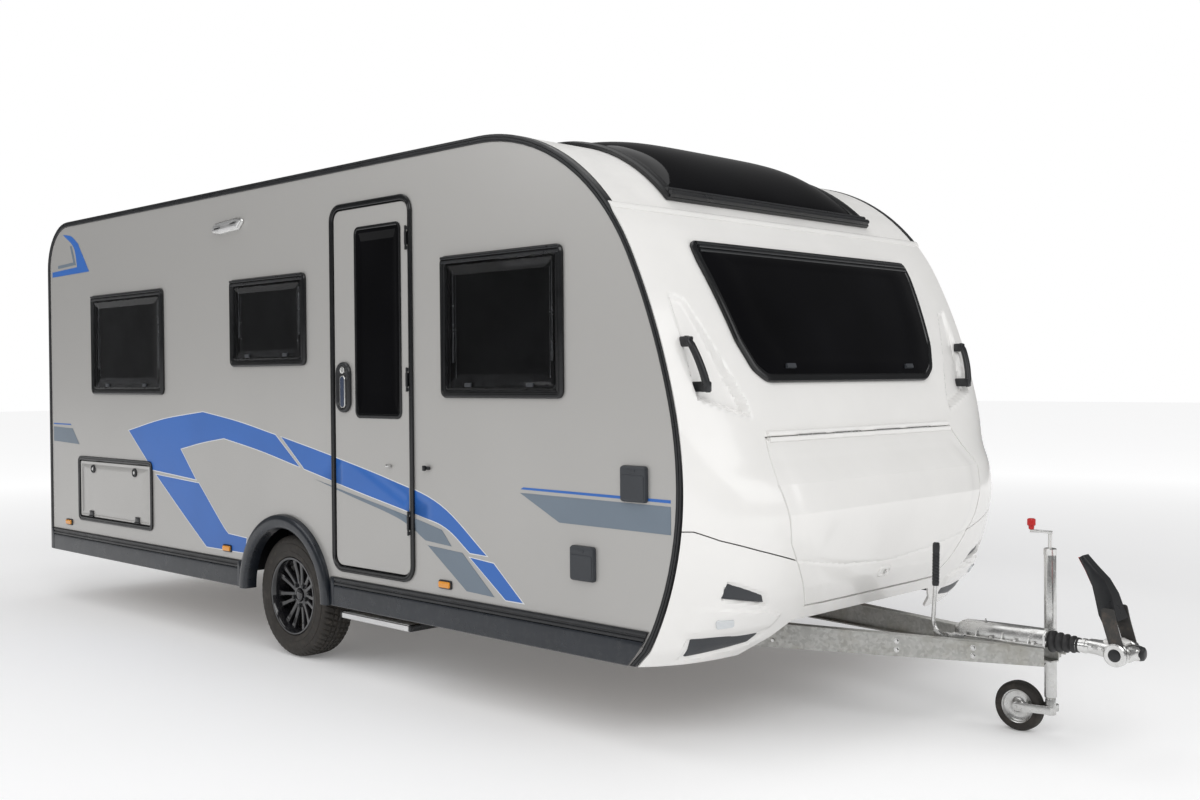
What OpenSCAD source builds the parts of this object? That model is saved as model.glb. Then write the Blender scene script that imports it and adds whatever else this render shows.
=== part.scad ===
// Single-axle travel caravan standing on its wheels and jockey wheel.
// +X points forward to the coupling, +Y left, +Z up; the origin is on the ground
// under the middle of the overall length and width.

/* [Body] */
// Length of the side walls, over the edge trims
body_len = 5570; // [5300:10:6800]
// Width over the side walls
body_w = 2300; // [2150:10:2760]
// Height of the roof above the ground
roof_z = 2482; // [2300:2:2980]
// Thickness of the sandwich walls and the roof
wall_t = 32; // [24:1:40]
// Distance from the rear wall to the axle
rear_run = 2870; // [2700:10:3400]
// Underside of the floor above the ground
floor_z = 402; // [390:1:430]
// Thickness of the floor
floor_t = 38; // [28:1:46]
// Radius of the rear top corner
rear_r = 300; // [200:10:340]
// Radius of the roof where it turns down to the front
roof_r = 1000; // [850:10:1100]
// Height of the widest point of the nose
belt_z = 1020; // [980:5:1060]
// How far the nose bulges ahead of the side walls
nose_bulge = 215; // [170:5:250]
// Width of the black edge trims
trim_w = 32; // [24:1:38]
// How far the edge trims stand out from the walls
trim_out = 6; // [3:1:10]

/* [Skirts and wheel arches] */
// Lower edge of the skirts above the ground
skirt_z = 325; // [300:1:345]
// Upper edge of the skirts
skirt_top_z = 468; // [450:1:485]
// Thickness of the skirts
skirt_t = 13; // [8:1:16]
// Outer radius of the wheel arch lips
arch_r = 420; // [400:5:440]
// Width of the wheel arch lips
arch_lip = 72; // [50:1:80]
// How far the wheel arch lips stand out from the walls
arch_out = 34; // [16:1:40]

/* [Entrance door] */
// Distance from the axle to the rear edge of the door frame
door_x = 438; // [430:1:480]
// Width over the door frame
door_w = 651; // [560:1:700]
// Lower edge of the door frame above the ground
door_z = 501; // [495:1:520]
// Height over the door frame
door_h = 1789; // [1500:1:1800]
// Width of the door frame's profile
door_frame_w = 26; // [20:1:34]
// Gap round the door
door_gap = 6; // [5:0.5:9]

/* [Windows] */
// Width of the front side window, over its frame
win_front_w = 777; // [640:1:935]
// Height of the front side window
win_front_h = 629; // [520:1:680]
// Distance from the door frame to the front side window
win_front_gap = 210; // [170:1:260]
// Width of the middle side window
win_mid_w = 729; // [600:1:800]
// Height of the middle side window
win_mid_h = 471; // [400:1:560]
// Distance from the door frame back to the middle side window
win_mid_gap = 219; // [200:1:280]
// Width of the rear side window
win_rear_w = 939; // [780:1:1100]
// Height of the rear side window
win_rear_h = 624; // [520:1:680]
// Distance from the rear wall to the rear side window
win_rear_gap = 660; // [560:1:700]
// Height of the window frames' upper edges above the ground
win_top_z = 1982; // [1900:1:2000]
// Width of the window frames' profile
win_frame_w = 36; // [28:1:44]
// How far the window frames stand out from the wall
win_out = 18; // [10:1:24]
// Width of the rear wall's window
win_back_w = 1250; // [1000:10:1400]
// Height of the rear wall's window
win_back_h = 560; // [450:10:640]

/* [Lids] */
// Width of the cargo hatch, over its frame
hatch_w = 1004; // [820:1:1100]
// Height of the cargo hatch
hatch_h = 415; // [350:1:430]
// Distance from the rear wall to the cargo hatch
hatch_gap = 434; // [400:1:520]
// Lower edge of the cargo hatch above the ground
hatch_z = 546; // [535:1:570]
// Width of the hatch frame's profile
hatch_frame_w = 26; // [20:1:32]
// Gap round the hatches and the locker lid
lid_gap = 5.5; // [5:0.5:8]
// Width of the service hatch on the left side
service_w = 396; // [320:1:470]
// Height of the service hatch on the left side
service_h = 320; // [260:1:380]
// Height of the gas locker lid's upper edge above the ground
lid_top_z = 1196; // [1170:2:1210]
// Lower edge of the gas locker lid above the ground
lid_low_z = 512; // [500:2:560]

/* [Wheels] */
// Diameter of the tyres
tyre_d = 634; // [600:1:640]
// Width of the tyres
tyre_w = 195; // [165:1:205]
// Diameter of the rims, over their flanges
rim_d = 402; // [360:1:410]
// Distance from the side wall's face to the tyre's outer face
wheel_inset = 28; // [24:1:60]
// Pitch circle of the wheel bolts
bolt_pcd = 112; // [98:1:130]
// Diameter of the wheel bolt holes
bolt_hole_d = 14; // [12:0.5:15]
// Diameter of the hub's centring bore
hub_bore_d = 66.6; // [57:0.1:76]

/* [Chassis] */
// Half of the distance between the chassis rails' outer faces
rail_y = 540; // [500:5:600]
// Height of the chassis rails
rail_h = 110; // [90:1:120]
// Height of the drawbar beams at their front end
beam_front_h = 70; // [60:1:90]
// Length of the drawbar ahead of the side walls, to the coupling's tip
drawbar_len = 1245; // [1150:5:1500]
// Sheet thickness of the rails and beams
steel_t = 5; // [4:0.5:8]
// Width of the rails' and beams' flanges
flange_w = 46; // [36:1:60]
// Size of the square coupling tube
tube_d = 60; // [50:1:64]
// Height of the coupling ball's centre above the ground
ball_z = 397; // [380:1:420]
// Diameter of the coupling ball
ball_d = 50; // [50:0.5:51]

/* [Jockey wheel and steadies] */
// Diameter of the jockey wheel's outer tube
jockey_tube_d = 48; // [42:0.5:60]
// Diameter of the jockey wheel
jockey_d = 200; // [180:1:220]
// Width of the jockey wheel
jockey_w = 50; // [40:1:60]
// Length of the corner steadies' legs
steady_len = 395; // [380:1:398]

/* [Hidden] */

$fn = 48;
e = 0.5;                 // gap between pieces that are bolted or bonded together
cut = 1;                 // how far a cutting tool runs past a face
bumper_t = 35;           // how far the rear bumper stands out behind the side walls

half_w = body_w / 2;
inner_y = half_w - wall_t;
rear_x = bumper_t - (bumper_t + body_len + drawbar_len) / 2;
front_x = rear_x + body_len;
axle_x = rear_x + rear_run;
tip_x = front_x + drawbar_len;
floor_top = floor_z + floor_t;
roof_in_z = roof_z - 2 - wall_t;

// Side profile: four arcs from the chin up over the nose to the roof, one at the rear.
low_a = 13.1;
mid_a = 26.5;
seam_a = 38.6;
chin_a = 30;
low_r = 1460;
chin_r = 1260;
low_c = [front_x - low_r, belt_z];
low_z = belt_z + low_r * sin(low_a);
mid_z = roof_z - roof_r * (1 - sin(mid_a));
mid_r = (mid_z - low_z) / (sin(mid_a) - sin(low_a));
mid_c = [low_c[0] + (low_r - mid_r) * cos(low_a), low_z - mid_r * sin(low_a)];
roof_c = [mid_c[0] + (mid_r - roof_r) * cos(mid_a), roof_z - roof_r];
chin_c = [front_x - chin_r, belt_z];
chin_z = belt_z - chin_r * sin(chin_a);
chin_x = chin_c[0] + chin_r * cos(chin_a);
seam_z = roof_c[1] + roof_r * sin(seam_a);
rear_c = [rear_x + rear_r, roof_z - rear_r];

function arc(c, r, a0, a1, n) =
  [for (i = [0 : n]) let (a = a0 + (a1 - a0) * i / n) c + r * [cos(a), sin(a)]];

// Front edge of the side profile from z_low up to the roof, moved in by d
function front_edge(d, z_low) = concat(
  [[side_x(z_low) - d * 1.3, z_low]],
  arc(chin_c, chin_r - d, -chin_a, 0, 6),
  arc(low_c, low_r - d, 2, low_a, 4),
  arc(mid_c, mid_r - d, low_a + 2, mid_a, 4),
  arc(roof_c, roof_r - d, mid_a + 4, 90, 14));

function profile(d, z_low) = concat(
  front_edge(d, z_low),
  arc(rear_c, rear_r - d, 90, 180, 10),
  [[rear_x + d, z_low]]);

// Front x of the side profile at the height z
function side_x(z) =
  z < chin_z ? chin_x + (z - chin_z)
  : z < belt_z ? chin_c[0] + chin_r * cos(asin((belt_z - z) / chin_r))
  : z < low_z ? low_c[0] + low_r * cos(asin((z - belt_z) / low_r))
  : z < mid_z ? mid_c[0] + mid_r * cos(asin((z - mid_c[1]) / mid_r))
  : roof_c[0] + roof_r * cos(asin(min(1, (z - roof_c[1]) / roof_r)));

// Share of the nose bulge at the height z, and how full the nose is in plan
function bulge(z) = nose_bulge * lookup(z, [
  [skirt_z, 0.72], [600, 0.98], [900, 1], [1020, 0.84], [1110, 0.52],
  [1200, 0.32], [1400, 0.2], [1600, 0.15], [2000, 0.085], [seam_z, 0.03]]);
plan_power = 7;
nose_w = inner_y - e;
function nose_x(y, z) = side_x(z) - 2 + bulge(z) * (1 - pow(abs(y) / half_w, plan_power));

// Lower edge of the nose: down at the sides, raised over the drawbar
function chin_low(y) = lookup(abs(y), [[0, 452], [430, 452], [700, skirt_z], [2000, skirt_z]]);

module slab(y0, y1) translate([0, y1, 0]) rotate([90, 0, 0]) linear_extrude(y1 - y0) children();
module along_x(x0, x1) translate([x0, 0, 0]) rotate([90, 0, 90]) linear_extrude(x1 - x0) children();
module on_right() mirror([0, 1, 0]) children();
module box(a, b) translate(a) cube(b - a);
module rod_y(x, y0, y1, z, r) translate([x, y1, z]) rotate([90, 0, 0]) cylinder(h = y1 - y0, r = r);
module rod_x(x0, x1, y, z, r) translate([x0, y, z]) rotate([0, 90, 0]) cylinder(h = x1 - x0, r = r);

// Rectangle with round corners from its lower left to its upper right corner
module round_rect(a, b, r) {
  translate([a[0] + r, a[1]]) square([b[0] - a[0] - 2 * r, b[1] - a[1]]);
  translate([a[0], a[1] + r]) square([b[0] - a[0], b[1] - a[1] - 2 * r]);
  for (x = [a[0] + r, b[0] - r], z = [a[1] + r, b[1] - r]) translate([x, z]) circle(r);
}

// Shell of the nose between two heights, from depth d0 to depth d1 under its face
module nose_shell(d0, d1, z0, z1, y_max, follow_chin = false) {
  ny = 28;
  nz = 12;
  function ys(j) = -y_max + 2 * y_max * j / ny;
  function low(y) = follow_chin ? chin_low(y) : z0;
  function zs(i, y) = low(y) + (z1 - low(y)) * i / nz;
  function grid(d) = [for (i = [0 : nz], j = [0 : ny])
    let (y = ys(j), z = zs(i, y)) [nose_x(y, z) - d, y, z]];
  n = (ny + 1) * (nz + 1);
  function at(i, j) = i * (ny + 1) + j;
  outer = [for (i = [0 : nz - 1], j = [0 : ny - 1]) each
    [[at(i, j), at(i + 1, j), at(i + 1, j + 1)], [at(i, j), at(i + 1, j + 1), at(i, j + 1)]]];
  inner = [for (f = outer) [f[0] + n, f[2] + n, f[1] + n]];
  sides = concat(
    [for (j = [0 : ny - 1]) each let (a = at(0, j), b = at(0, j + 1))
      [[a, b, b + n], [a, b + n, a + n]]],
    [for (j = [0 : ny - 1]) each let (a = at(nz, j), b = at(nz, j + 1))
      [[b, a, a + n], [b, a + n, b + n]]],
    [for (i = [0 : nz - 1]) each let (a = at(i, 0), b = at(i + 1, 0))
      [[b, a, a + n], [b, a + n, b + n]]],
    [for (i = [0 : nz - 1]) each let (a = at(i, ny), b = at(i + 1, ny))
      [[a, b, b + n], [a, b + n, a + n]]]);
  polyhedron(concat(grid(d0), grid(d1)), concat(outer, inner, sides), convexity = 6);
}

// Outlines seen from the front, as [y, z]
module mirror_outline(pts) polygon(concat(pts, [for (i = [len(pts) - 1 : -1 : 0]) [-pts[i][0], pts[i][1]]]));
module front_window_outline(grow) mirror_outline([
  [811 + grow, 1982 + grow], [811 + grow, 1900], [747 + grow, 1575],
  [690 + grow, 1460], [613, 1410 - grow]]);
module lid_outline(grow) mirror_outline([
  [716 + grow, lid_top_z + grow], [769 + grow, belt_z], [700 + grow, 760],
  [625 + grow, 600], [520 + grow, lid_low_z - grow]]);

door_x0 = axle_x + door_x;
door_x1 = door_x0 + door_w;
door_z1 = door_z + door_h;
door_r = 80;
win_front = [door_x1 + win_front_gap, win_front_w, win_front_h];
win_mid = [door_x0 - win_mid_gap - win_mid_w, win_mid_w, win_mid_h];
win_rear = [rear_x + win_rear_gap, win_rear_w, win_rear_h];
hatch_x = rear_x + hatch_gap;
service_x = rear_x + 560;
service_z = 560;

// Window: its frame through the wall and the pane, seen from outside
module window_at(win) {
  x0 = win[0];
  x1 = x0 + win[1];
  z1 = win_top_z;
  z0 = z1 - win[2];
  f = win_frame_w;
  difference() {
    union() {
      slab(half_w + e, half_w + win_out) round_rect([x0, z0], [x1, z1], 34);
      slab(inner_y - 6, half_w + 2 * e) round_rect([x0 + 16, z0 + 16], [x1 - 16, z1 - 16], 26);
    }
    slab(inner_y - 6 - cut, half_w + win_out + cut)
      round_rect([x0 + f, z0 + f], [x1 - f, z1 - f], 22);
  }
  slab(half_w + 2, half_w + 7) round_rect([x0 + f - 4, z0 + f - 4], [x1 - f + 4, z1 - f + 4], 22);
}
module window_hole(win) slab(inner_y - cut, half_w + cut)
  round_rect([win[0] + 16 - e, win_top_z - win[2] + 16 - e],
             [win[0] + win[1] - 16 + e, win_top_z - 16 + e], 26 + e);

module wall_blank() slab(inner_y, half_w) polygon(profile(trim_w + e, floor_z));
module arch_hole() rod_y(axle_x, inner_y - cut, half_w + cut, skirt_z, arch_r - arch_lip / 2);

module side_wall_right() color("silver") on_right() difference() {
  wall_blank();
  arch_hole();
  window_hole(win_front);
  window_hole(win_mid);
  window_hole(win_rear);
  slab(inner_y - cut, half_w + cut)
    round_rect([door_x0 + 8, door_z + 8], [door_x1 - 8, door_z1 - 8], door_r - 8);
  slab(inner_y - cut, half_w + cut)
    round_rect([hatch_x + 8, hatch_z + 8], [hatch_x + hatch_w - 8, hatch_z + hatch_h - 8], 30);
}

module side_wall_left() color("silver") difference() {
  wall_blank();
  arch_hole();
  window_hole(win_front);
  window_hole(win_rear);
  slab(inner_y - cut, half_w + cut)
    round_rect([service_x + 8, service_z + 8],
               [service_x + service_w - 8, service_z + service_h - 8], 30);
}

// Outline between the profile moved in by d0 and by d1, from angle a on the roof arc back
module roof_band(d0, d1, a) polygon(concat(
  arc(roof_c, roof_r - d0, a, 90, 14), arc(rear_c, rear_r - d0, 90, 180, 10),
  arc(rear_c, rear_r - d1, 180, 90, 10), arc(roof_c, roof_r - d1, 90, a, 14)));

panorama_y = 758;
panorama_a0 = 43.5;      // lower edge of the roof window, as an angle on the roof arc
panorama_a1 = 94;
light_big = [axle_x - 420, 340, 260];   // middle x, half length and half width
light_small = [rear_x + 900, 200, 200];

module roof_panel() color("white") difference() {
  slab(-inner_y + e, inner_y - e) roof_band(2, 2 + wall_t, seam_a);
  slab(-panorama_y + 60, panorama_y - 60) polygon(concat(
    arc(roof_c, roof_r + 20, panorama_a0 + 4, 90, 10), arc(roof_c, roof_r - 60, 90, panorama_a0 + 4, 10)));
  for (l = [light_big, light_small])
    box([l[0] - l[1] + 30, -l[2] + 30, roof_z - 60], [l[0] + l[1] - 30, l[2] - 30, roof_z + 10]);
}

module rear_wall() color("white") difference() {
  box([rear_x + 2, -inner_y + e, floor_top + e], [rear_x + 2 + wall_t, inner_y - e, rear_c[1] - e]);
  along_x(rear_x - cut, rear_x + wall_t + 2 + cut)
    round_rect([-win_back_w / 2 + 16, win_top_z - win_back_h + 16 - 60],
               [win_back_w / 2 - 16, win_top_z - 16 - 60], 26);
}

box_half = arch_r + 16;   // half length of the wheel boxes
box_y = inner_y - 262;    // inner wall of the wheel boxes
module floor_panel() color("tan") difference() {
  box([rear_x + 2, -inner_y + e, floor_z], [locker_floor_x, inner_y - e, floor_top]);
  for (s = [-1, 1]) box([axle_x - box_half, min(s * box_y, s * body_w), floor_z - cut],
                        [axle_x + box_half, max(s * box_y, s * body_w), floor_top + cut]);
}

shell_t = 46;            // thickness of the front's moulded sandwich
window_lap = 24;         // how far the front window's frame laps over the edge of its hole
module front_panel_shell() difference() {
  nose_shell(0, shell_t, 842, seam_z, nose_w);
  along_x(front_x - 900, front_x + 600) front_window_outline(-window_lap);
  along_x(front_x - 900, front_x + 600) lid_outline(lid_gap);
  slab(-half_w, half_w) polygon([for (p = [[0.7, seam_a], [1.4, seam_a], [1.4, 70], [0.7, 70]])
    roof_c + roof_r * p[0] * [cos(p[1] - 0.04), sin(p[1] - 0.04)]]);
}

module front_bumper() color("white") difference() {
  nose_shell(0, shell_t, skirt_z, 842 - 4, nose_w, true);
  along_x(front_x - 900, front_x + 600) lid_outline(lid_gap);
}

module front_panel() color("white") {
  front_panel_shell();
  for (s = [0, 1]) mirror([0, s, 0]) for (y = [60, 320]) {
    rod_y(lid_hinge_x, y - 30, y - e, lid_hinge_z, 5);
    box([lid_hinge_x - 14, y - 30, lid_hinge_z], [lid_hinge_x + 4, y - e, lid_hinge_z + 22]);
  }
}

// Gas locker lid, hinged along its upper edge outside the front panel's face
lid_hinge_x = nose_x(0, lid_top_z) + 14;
lid_hinge_z = lid_top_z + 3;
module locker_lid() color("white") {
  intersection() {
    nose_shell(0, shell_t, lid_low_z - 1, lid_top_z + 1, nose_w - 100);
    along_x(front_x - 900, front_x + 600) lid_outline(0);
  }
  for (s = [0, 1]) mirror([0, s, 0]) for (y = [60, 320]) {
    rod_y(lid_hinge_x, y, y + 200, lid_hinge_z, 5);
    box([lid_hinge_x - 12, y, lid_hinge_z - 22], [lid_hinge_x + 4, y + 200, lid_hinge_z]);
  }
}

// Gas locker behind the lid: bulkhead, top shelf, side walls and floor
locker_x = front_x - 430;
locker_floor_x = front_x - 205;   // where the body's floor ends and the locker's floor begins
module locker_box() color("gainsboro") {
  box([locker_x, -inner_y + e, floor_top + e], [locker_x + wall_t, inner_y - e, 1290]);
  box([locker_x, -inner_y + e, 1290 - wall_t], [side_x(1290) - 60, inner_y - e, 1290]);
  for (s = [-1, 1])
    box([locker_x, s * 860 - 16, floor_top + e], [locker_floor_x - 10, s * 860 + 16, 1290]);
  box([locker_floor_x - 60, -640, floor_top + e], [front_x - 50, 640, floor_top + floor_t]);
}

module edge_trim() color("dimgray") slab(inner_y, half_w + trim_out) polygon(concat(
  profile(0, skirt_z + 1), [for (i = [len(profile(trim_w, skirt_z + 1)) - 1 : -1 : 0])
    profile(trim_w, skirt_z + 1)[i]]));
module edge_trim_left() edge_trim();
module edge_trim_right() on_right() edge_trim();

// Roof window over the front: a bulging pane in a frame that follows the roof arc
function swell(t) = 20 + 52 * pow(sin(180 * t), 0.7);
module panorama_window() color("black") {
  n = 16;
  slab(-panorama_y, panorama_y) polygon(concat(
    [for (i = [0 : n]) let (a = panorama_a0 + (panorama_a1 - panorama_a0) * i / n)
      roof_c + (roof_r + swell(i / n)) * [cos(a), sin(a)]],
    [for (i = [n : -1 : 0]) let (a = panorama_a0 + (panorama_a1 - panorama_a0) * i / n)
      roof_c + (roof_r + e) * [cos(a), sin(a)]]));
}

module front_window() color("black") {
  intersection() {
    nose_shell(-26, -3, 1370, 2040, 880);
    along_x(front_x - 900, front_x + 600) front_window_outline(0);
  }
  intersection() {
    nose_shell(-4, 26, 1370, 2040, 880);
    along_x(front_x - 900, front_x + 600) front_window_outline(-window_lap - 0.6);
  }
}

module window_right_front() color("black") on_right() window_at(win_front);
module window_right_middle() color("black") on_right() window_at(win_mid);
module window_right_rear() color("black") on_right() window_at(win_rear);
module windows_left() color("black") {
  window_at(win_front);
  window_at(win_rear);
}

module rear_window() color("black") {
  z1 = win_top_z - 60;
  z0 = z1 - win_back_h;
  w = win_back_w / 2;
  f = win_frame_w;
  difference() {
    union() {
      along_x(rear_x - 16, rear_x + 2 - e) round_rect([-w, z0], [w, z1], 34);
      along_x(rear_x + 1, rear_x + wall_t + 8)
        round_rect([-w + 16 + e, z0 + 16 + e], [w - 16 - e, z1 - 16 - e], 26);
    }
    along_x(rear_x - 20, rear_x + wall_t + 20) round_rect([-w + f, z0 + f], [w - f, z1 - f], 22);
  }
  along_x(rear_x - 8, rear_x - 3) round_rect([-w + f - 4, z0 + f - 4], [w - f + 4, z1 - f + 4], 22);
}

module rooflights() color("whitesmoke") for (l = [light_big, light_small]) {
  difference() {
    box([l[0] - l[1], -l[2], roof_z - 2 + e], [l[0] + l[1], l[2], roof_z + 34]);
    box([l[0] - l[1] + 30, -l[2] + 30, roof_z - 20], [l[0] + l[1] - 30, l[2] - 30, roof_z + 60]);
  }
  box([l[0] - l[1] + 12, -l[2] + 12, roof_z + 34], [l[0] + l[1] - 12, l[2] - 12, roof_z + 62]);
}

// Entrance door: hinged at its front edge
module door_frame() color("black") on_right() {
  door_frame_ring();
  for (z = door_hinge_z, dz = [-20 - pin_gap, 70 + pin_gap]) {
    translate([hinge_x, hinge_y, z + dz]) cylinder(h = 20, r = 5);
    box([hinge_x + 3, half_w + 11, z + dz], [hinge_x + 12, hinge_y + 4, z + dz + 20]);
  }
}
pin_gap = 0.3;           // gap between the knuckles of a hinge
module door_frame_ring() difference() {
  union() {
    slab(half_w + e, half_w + 12) round_rect([door_x0, door_z], [door_x1, door_z1], door_r);
    slab(inner_y - 4, half_w + 2 * e)
      round_rect([door_x0 + 8 + e, door_z + 8 + e], [door_x1 - 8 - e, door_z1 - 8 - e], door_r - 8 - e);
  }
  f = door_frame_w;
  slab(inner_y - 4 - cut, half_w + 12 + cut)
    round_rect([door_x0 + f, door_z + f], [door_x1 - f, door_z1 - f], door_r - f);
}

door_edge = door_frame_w + door_gap;
glass = [door_x0 + 204, 1253, door_x1 - 82, 2168];   // door window: x0, z0, x1, z1
module entrance_door() color("silver") on_right() {
  difference() {
    slab(inner_y, half_w + 4) round_rect(
      [door_x0 + door_edge, door_z + door_edge],
      [door_x1 - door_edge, door_z1 - door_edge], door_r - door_edge);
    slab(inner_y - cut, half_w + 4 + cut)
      round_rect([glass[0], glass[1]], [glass[2], glass[3]], 16);
  }
  slab(inner_y + 10, half_w - 6) round_rect([glass[0] - 3, glass[1] - 3], [glass[2] + 3, glass[3] + 3], 16);
  for (z = door_hinge_z) {
    box([hinge_x - 36, half_w + 3, z], [hinge_x - 4, half_w + 10, z + 70]);
    box([hinge_x - 10, half_w + 3, z], [hinge_x, hinge_y + 4, z + 70]);
    translate([hinge_x, hinge_y, z]) cylinder(h = 70, r = 5);
  }
}
door_hinge_z = [door_z + 240, door_z + 900, door_z1 - 240];
hinge_x = door_x1 - door_edge + 4;
hinge_y = half_w + 18;

module door_handle() color("dimgray") on_right() {
  x = door_x0 + 112;
  slab(half_w + 4 + e, half_w + 22) round_rect([x - 58, 1278], [x + 58, 1524], 50);
}

// Lids hang on knuckles that stand out in front of them
knuckle_out = 9;         // how far the lid hinges' axes stand out from the walls
knuckle_up = hatch_frame_w + lid_gap + 5;
hatch_hinge_x = [hatch_x + 160, hatch_x + hatch_w - 220];
service_hinge_z = [service_z + 70, service_z + service_h - 130];
module hatch_frame() color("black") on_right() {
  hatch_frame_ring();
  for (x = hatch_hinge_x, dx = [-20 - pin_gap, 60 + pin_gap]) {
    rod_x(x + dx, x + dx + 20, half_w + knuckle_out, hatch_z + knuckle_up, 5);
    box([x + dx, half_w + 7, hatch_z + 14], [x + dx + 20, half_w + 12, hatch_z + knuckle_up]);
  }
}
module hatch_frame_ring() difference() {
  x1 = hatch_x + hatch_w;
  z1 = hatch_z + hatch_h;
  f = hatch_frame_w;
  union() {
    slab(half_w + e, half_w + 10) round_rect([hatch_x, hatch_z], [x1, z1], 38);
    slab(inner_y - 4, half_w + 2 * e)
      round_rect([hatch_x + 8 + e, hatch_z + 8 + e], [x1 - 8 - e, z1 - 8 - e], 30 - e);
  }
  slab(inner_y - 4 - cut, half_w + 10 + cut) round_rect([hatch_x + f, hatch_z + f], [x1 - f, z1 - f], 22);
}

module cargo_hatch() color("silver") on_right() {
  g = hatch_frame_w + lid_gap;
  slab(inner_y, half_w + 2) round_rect([hatch_x + g, hatch_z + g],
    [hatch_x + hatch_w - g, hatch_z + hatch_h - g], 18);
  for (x = hatch_hinge_x) {
    box([x, half_w + 1, hatch_z + g], [x + 60, half_w + 5, hatch_z + g + 22]);
    rod_x(x, x + 60, half_w + knuckle_out, hatch_z + knuckle_up, 5);
  }
}

module service_frame() color("white") {
  service_frame_ring();
  for (z = service_hinge_z, dz = [-20 - pin_gap, 60 + pin_gap]) {
    translate([service_x + knuckle_up, half_w + knuckle_out, z + dz]) cylinder(h = 20, r = 5);
    box([service_x + 14, half_w + 7, z + dz], [service_x + knuckle_up, half_w + 12, z + dz + 20]);
  }
}
module service_frame_ring() difference() {
  x1 = service_x + service_w;
  z1 = service_z + service_h;
  f = hatch_frame_w;
  union() {
    slab(half_w + e, half_w + 10) round_rect([service_x, service_z], [x1, z1], 38);
    slab(inner_y - 4, half_w + 2 * e)
      round_rect([service_x + 8 + e, service_z + 8 + e], [x1 - 8 - e, z1 - 8 - e], 30 - e);
  }
  slab(inner_y - 4 - cut, half_w + 10 + cut) round_rect([service_x + f, service_z + f], [x1 - f, z1 - f], 22);
}

module service_hatch() color("white") {
  g = hatch_frame_w + lid_gap;
  slab(inner_y, half_w + 2) round_rect([service_x + g, service_z + g],
    [service_x + service_w - g, service_z + service_h - g], 18);
  for (z = service_hinge_z) {
    box([service_x + g, half_w + 1, z], [service_x + g + 22, half_w + 5, z + 60]);
    translate([service_x + knuckle_up, half_w + knuckle_out, z]) cylinder(h = 60, r = 5);
  }
}

// Skirts: dark panels under the side walls, open at the wheel
module skirt() color("darkslategray") difference() {
  slab(half_w + e, half_w + e + skirt_t) polygon([
    [rear_x + trim_w + e, skirt_z], [side_x(skirt_z) - trim_w * 1.3 - 4, skirt_z],
    [side_x(skirt_top_z) - trim_w - 8, skirt_top_z], [rear_x + trim_w + e, skirt_top_z]]);
  box([axle_x - arch_r - e, half_w - cut, skirt_z - cut],
      [axle_x + arch_r + e, half_w + 40, skirt_top_z + cut]);
}
module skirt_left() skirt();
module skirt_right() on_right() skirt();

module wheel_arch() color("darkslategray") difference() {
  union() {
    rod_y(axle_x, half_w + e, half_w + arch_out, skirt_z, arch_r);
    rod_y(axle_x, inner_y - 6, half_w + 2 * e, skirt_z, arch_r - arch_lip / 2 - e);
  }
  rod_y(axle_x, inner_y - 6 - cut, half_w + arch_out + cut, skirt_z, arch_r - arch_lip);
  box([axle_x - arch_r - cut, 0, skirt_z - arch_r - cut], [axle_x + arch_r + cut, body_w, skirt_z]);
}
module wheel_arch_left() wheel_arch();
module wheel_arch_right() on_right() wheel_arch();

// Wheel boxes: closed housings over the wheels, inside the body
module wheel_boxes() color("dimgray") for (s = [0, 1]) mirror([0, s, 0]) difference() {
  box([axle_x - box_half + e, box_y + e, floor_z], [axle_x + box_half - e, inner_y - 7, 766]);
  box([axle_x - box_half + 8, box_y + 8, floor_z - cut], [axle_x + box_half - 8, inner_y, 758]);
}

// Small fittings on the walls: awning light, two covers, markers and fridge grilles
module wall_fittings() {
  color("silver") on_right() slab(half_w + e, half_w + 26)
    round_rect([axle_x - 700, 2238], [axle_x - 350, 2316], 30);
  for (c = [[front_x - 240, 1029], [front_x - 520, 697]])
    color("dimgray") on_right() slab(half_w + e, half_w + 22)
      round_rect([c[0], c[1]], [c[0] + 134, c[1] + 140], 16);
  for (s = [0, 1], x = [axle_x - 2586, axle_x - 576, axle_x + 1308])
    color("orange") mirror([0, s, 0]) slab(half_w + e, half_w + 16)
      round_rect([x - 45, 500], [x + 45, 540], 18);
  for (z = [760, 1500])
    color("white") slab(half_w + e, half_w + 14) round_rect([axle_x + 90, z], [axle_x + 570, z + 270], 20);
}

// Handles for moving the caravan by hand, at the front and rear corners
module grab_handles() color("dimgray") for (s = [-1, 1]) {
  for (z = [1396, 1556]) translate([nose_x(1016, z) + e, s * 1030 - 14, z]) cube([44, 28, 34]);
  hull() for (z = [1396, 1556])
    translate([nose_x(1016, z) + 26, s * 1030 - 14, z]) cube([20, 28, 34]);
  for (z = [1000, 1190]) box([rear_x - 20, s * 1000 - 14, z], [rear_x + 2 - e, s * 1000 + 14, z + 30]);
  box([rear_x - bumper_t + 2, s * 1000 - 14, 1000], [rear_x - 18, s * 1000 + 14, 1220]);
}

module rear_bumper() color("white") difference() {
  box([rear_x - bumper_t, -inner_y + 6, 372], [rear_x + 2 - e, inner_y - 6, 520]);
  box([rear_x - bumper_t + 6, -inner_y + 12, 372 - cut], [rear_x - 5, inner_y - 12, 514]);
}

module tail_lights() color("red") for (s = [-1, 1])
  box([rear_x - bumper_t + 6, s * 960 - 130, 522], [rear_x + 2 - e, s * 960 + 130, 618]);

// Chassis: two rails under the floor, cross members and the V-shaped drawbar
kink_x = front_x - 970;

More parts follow.
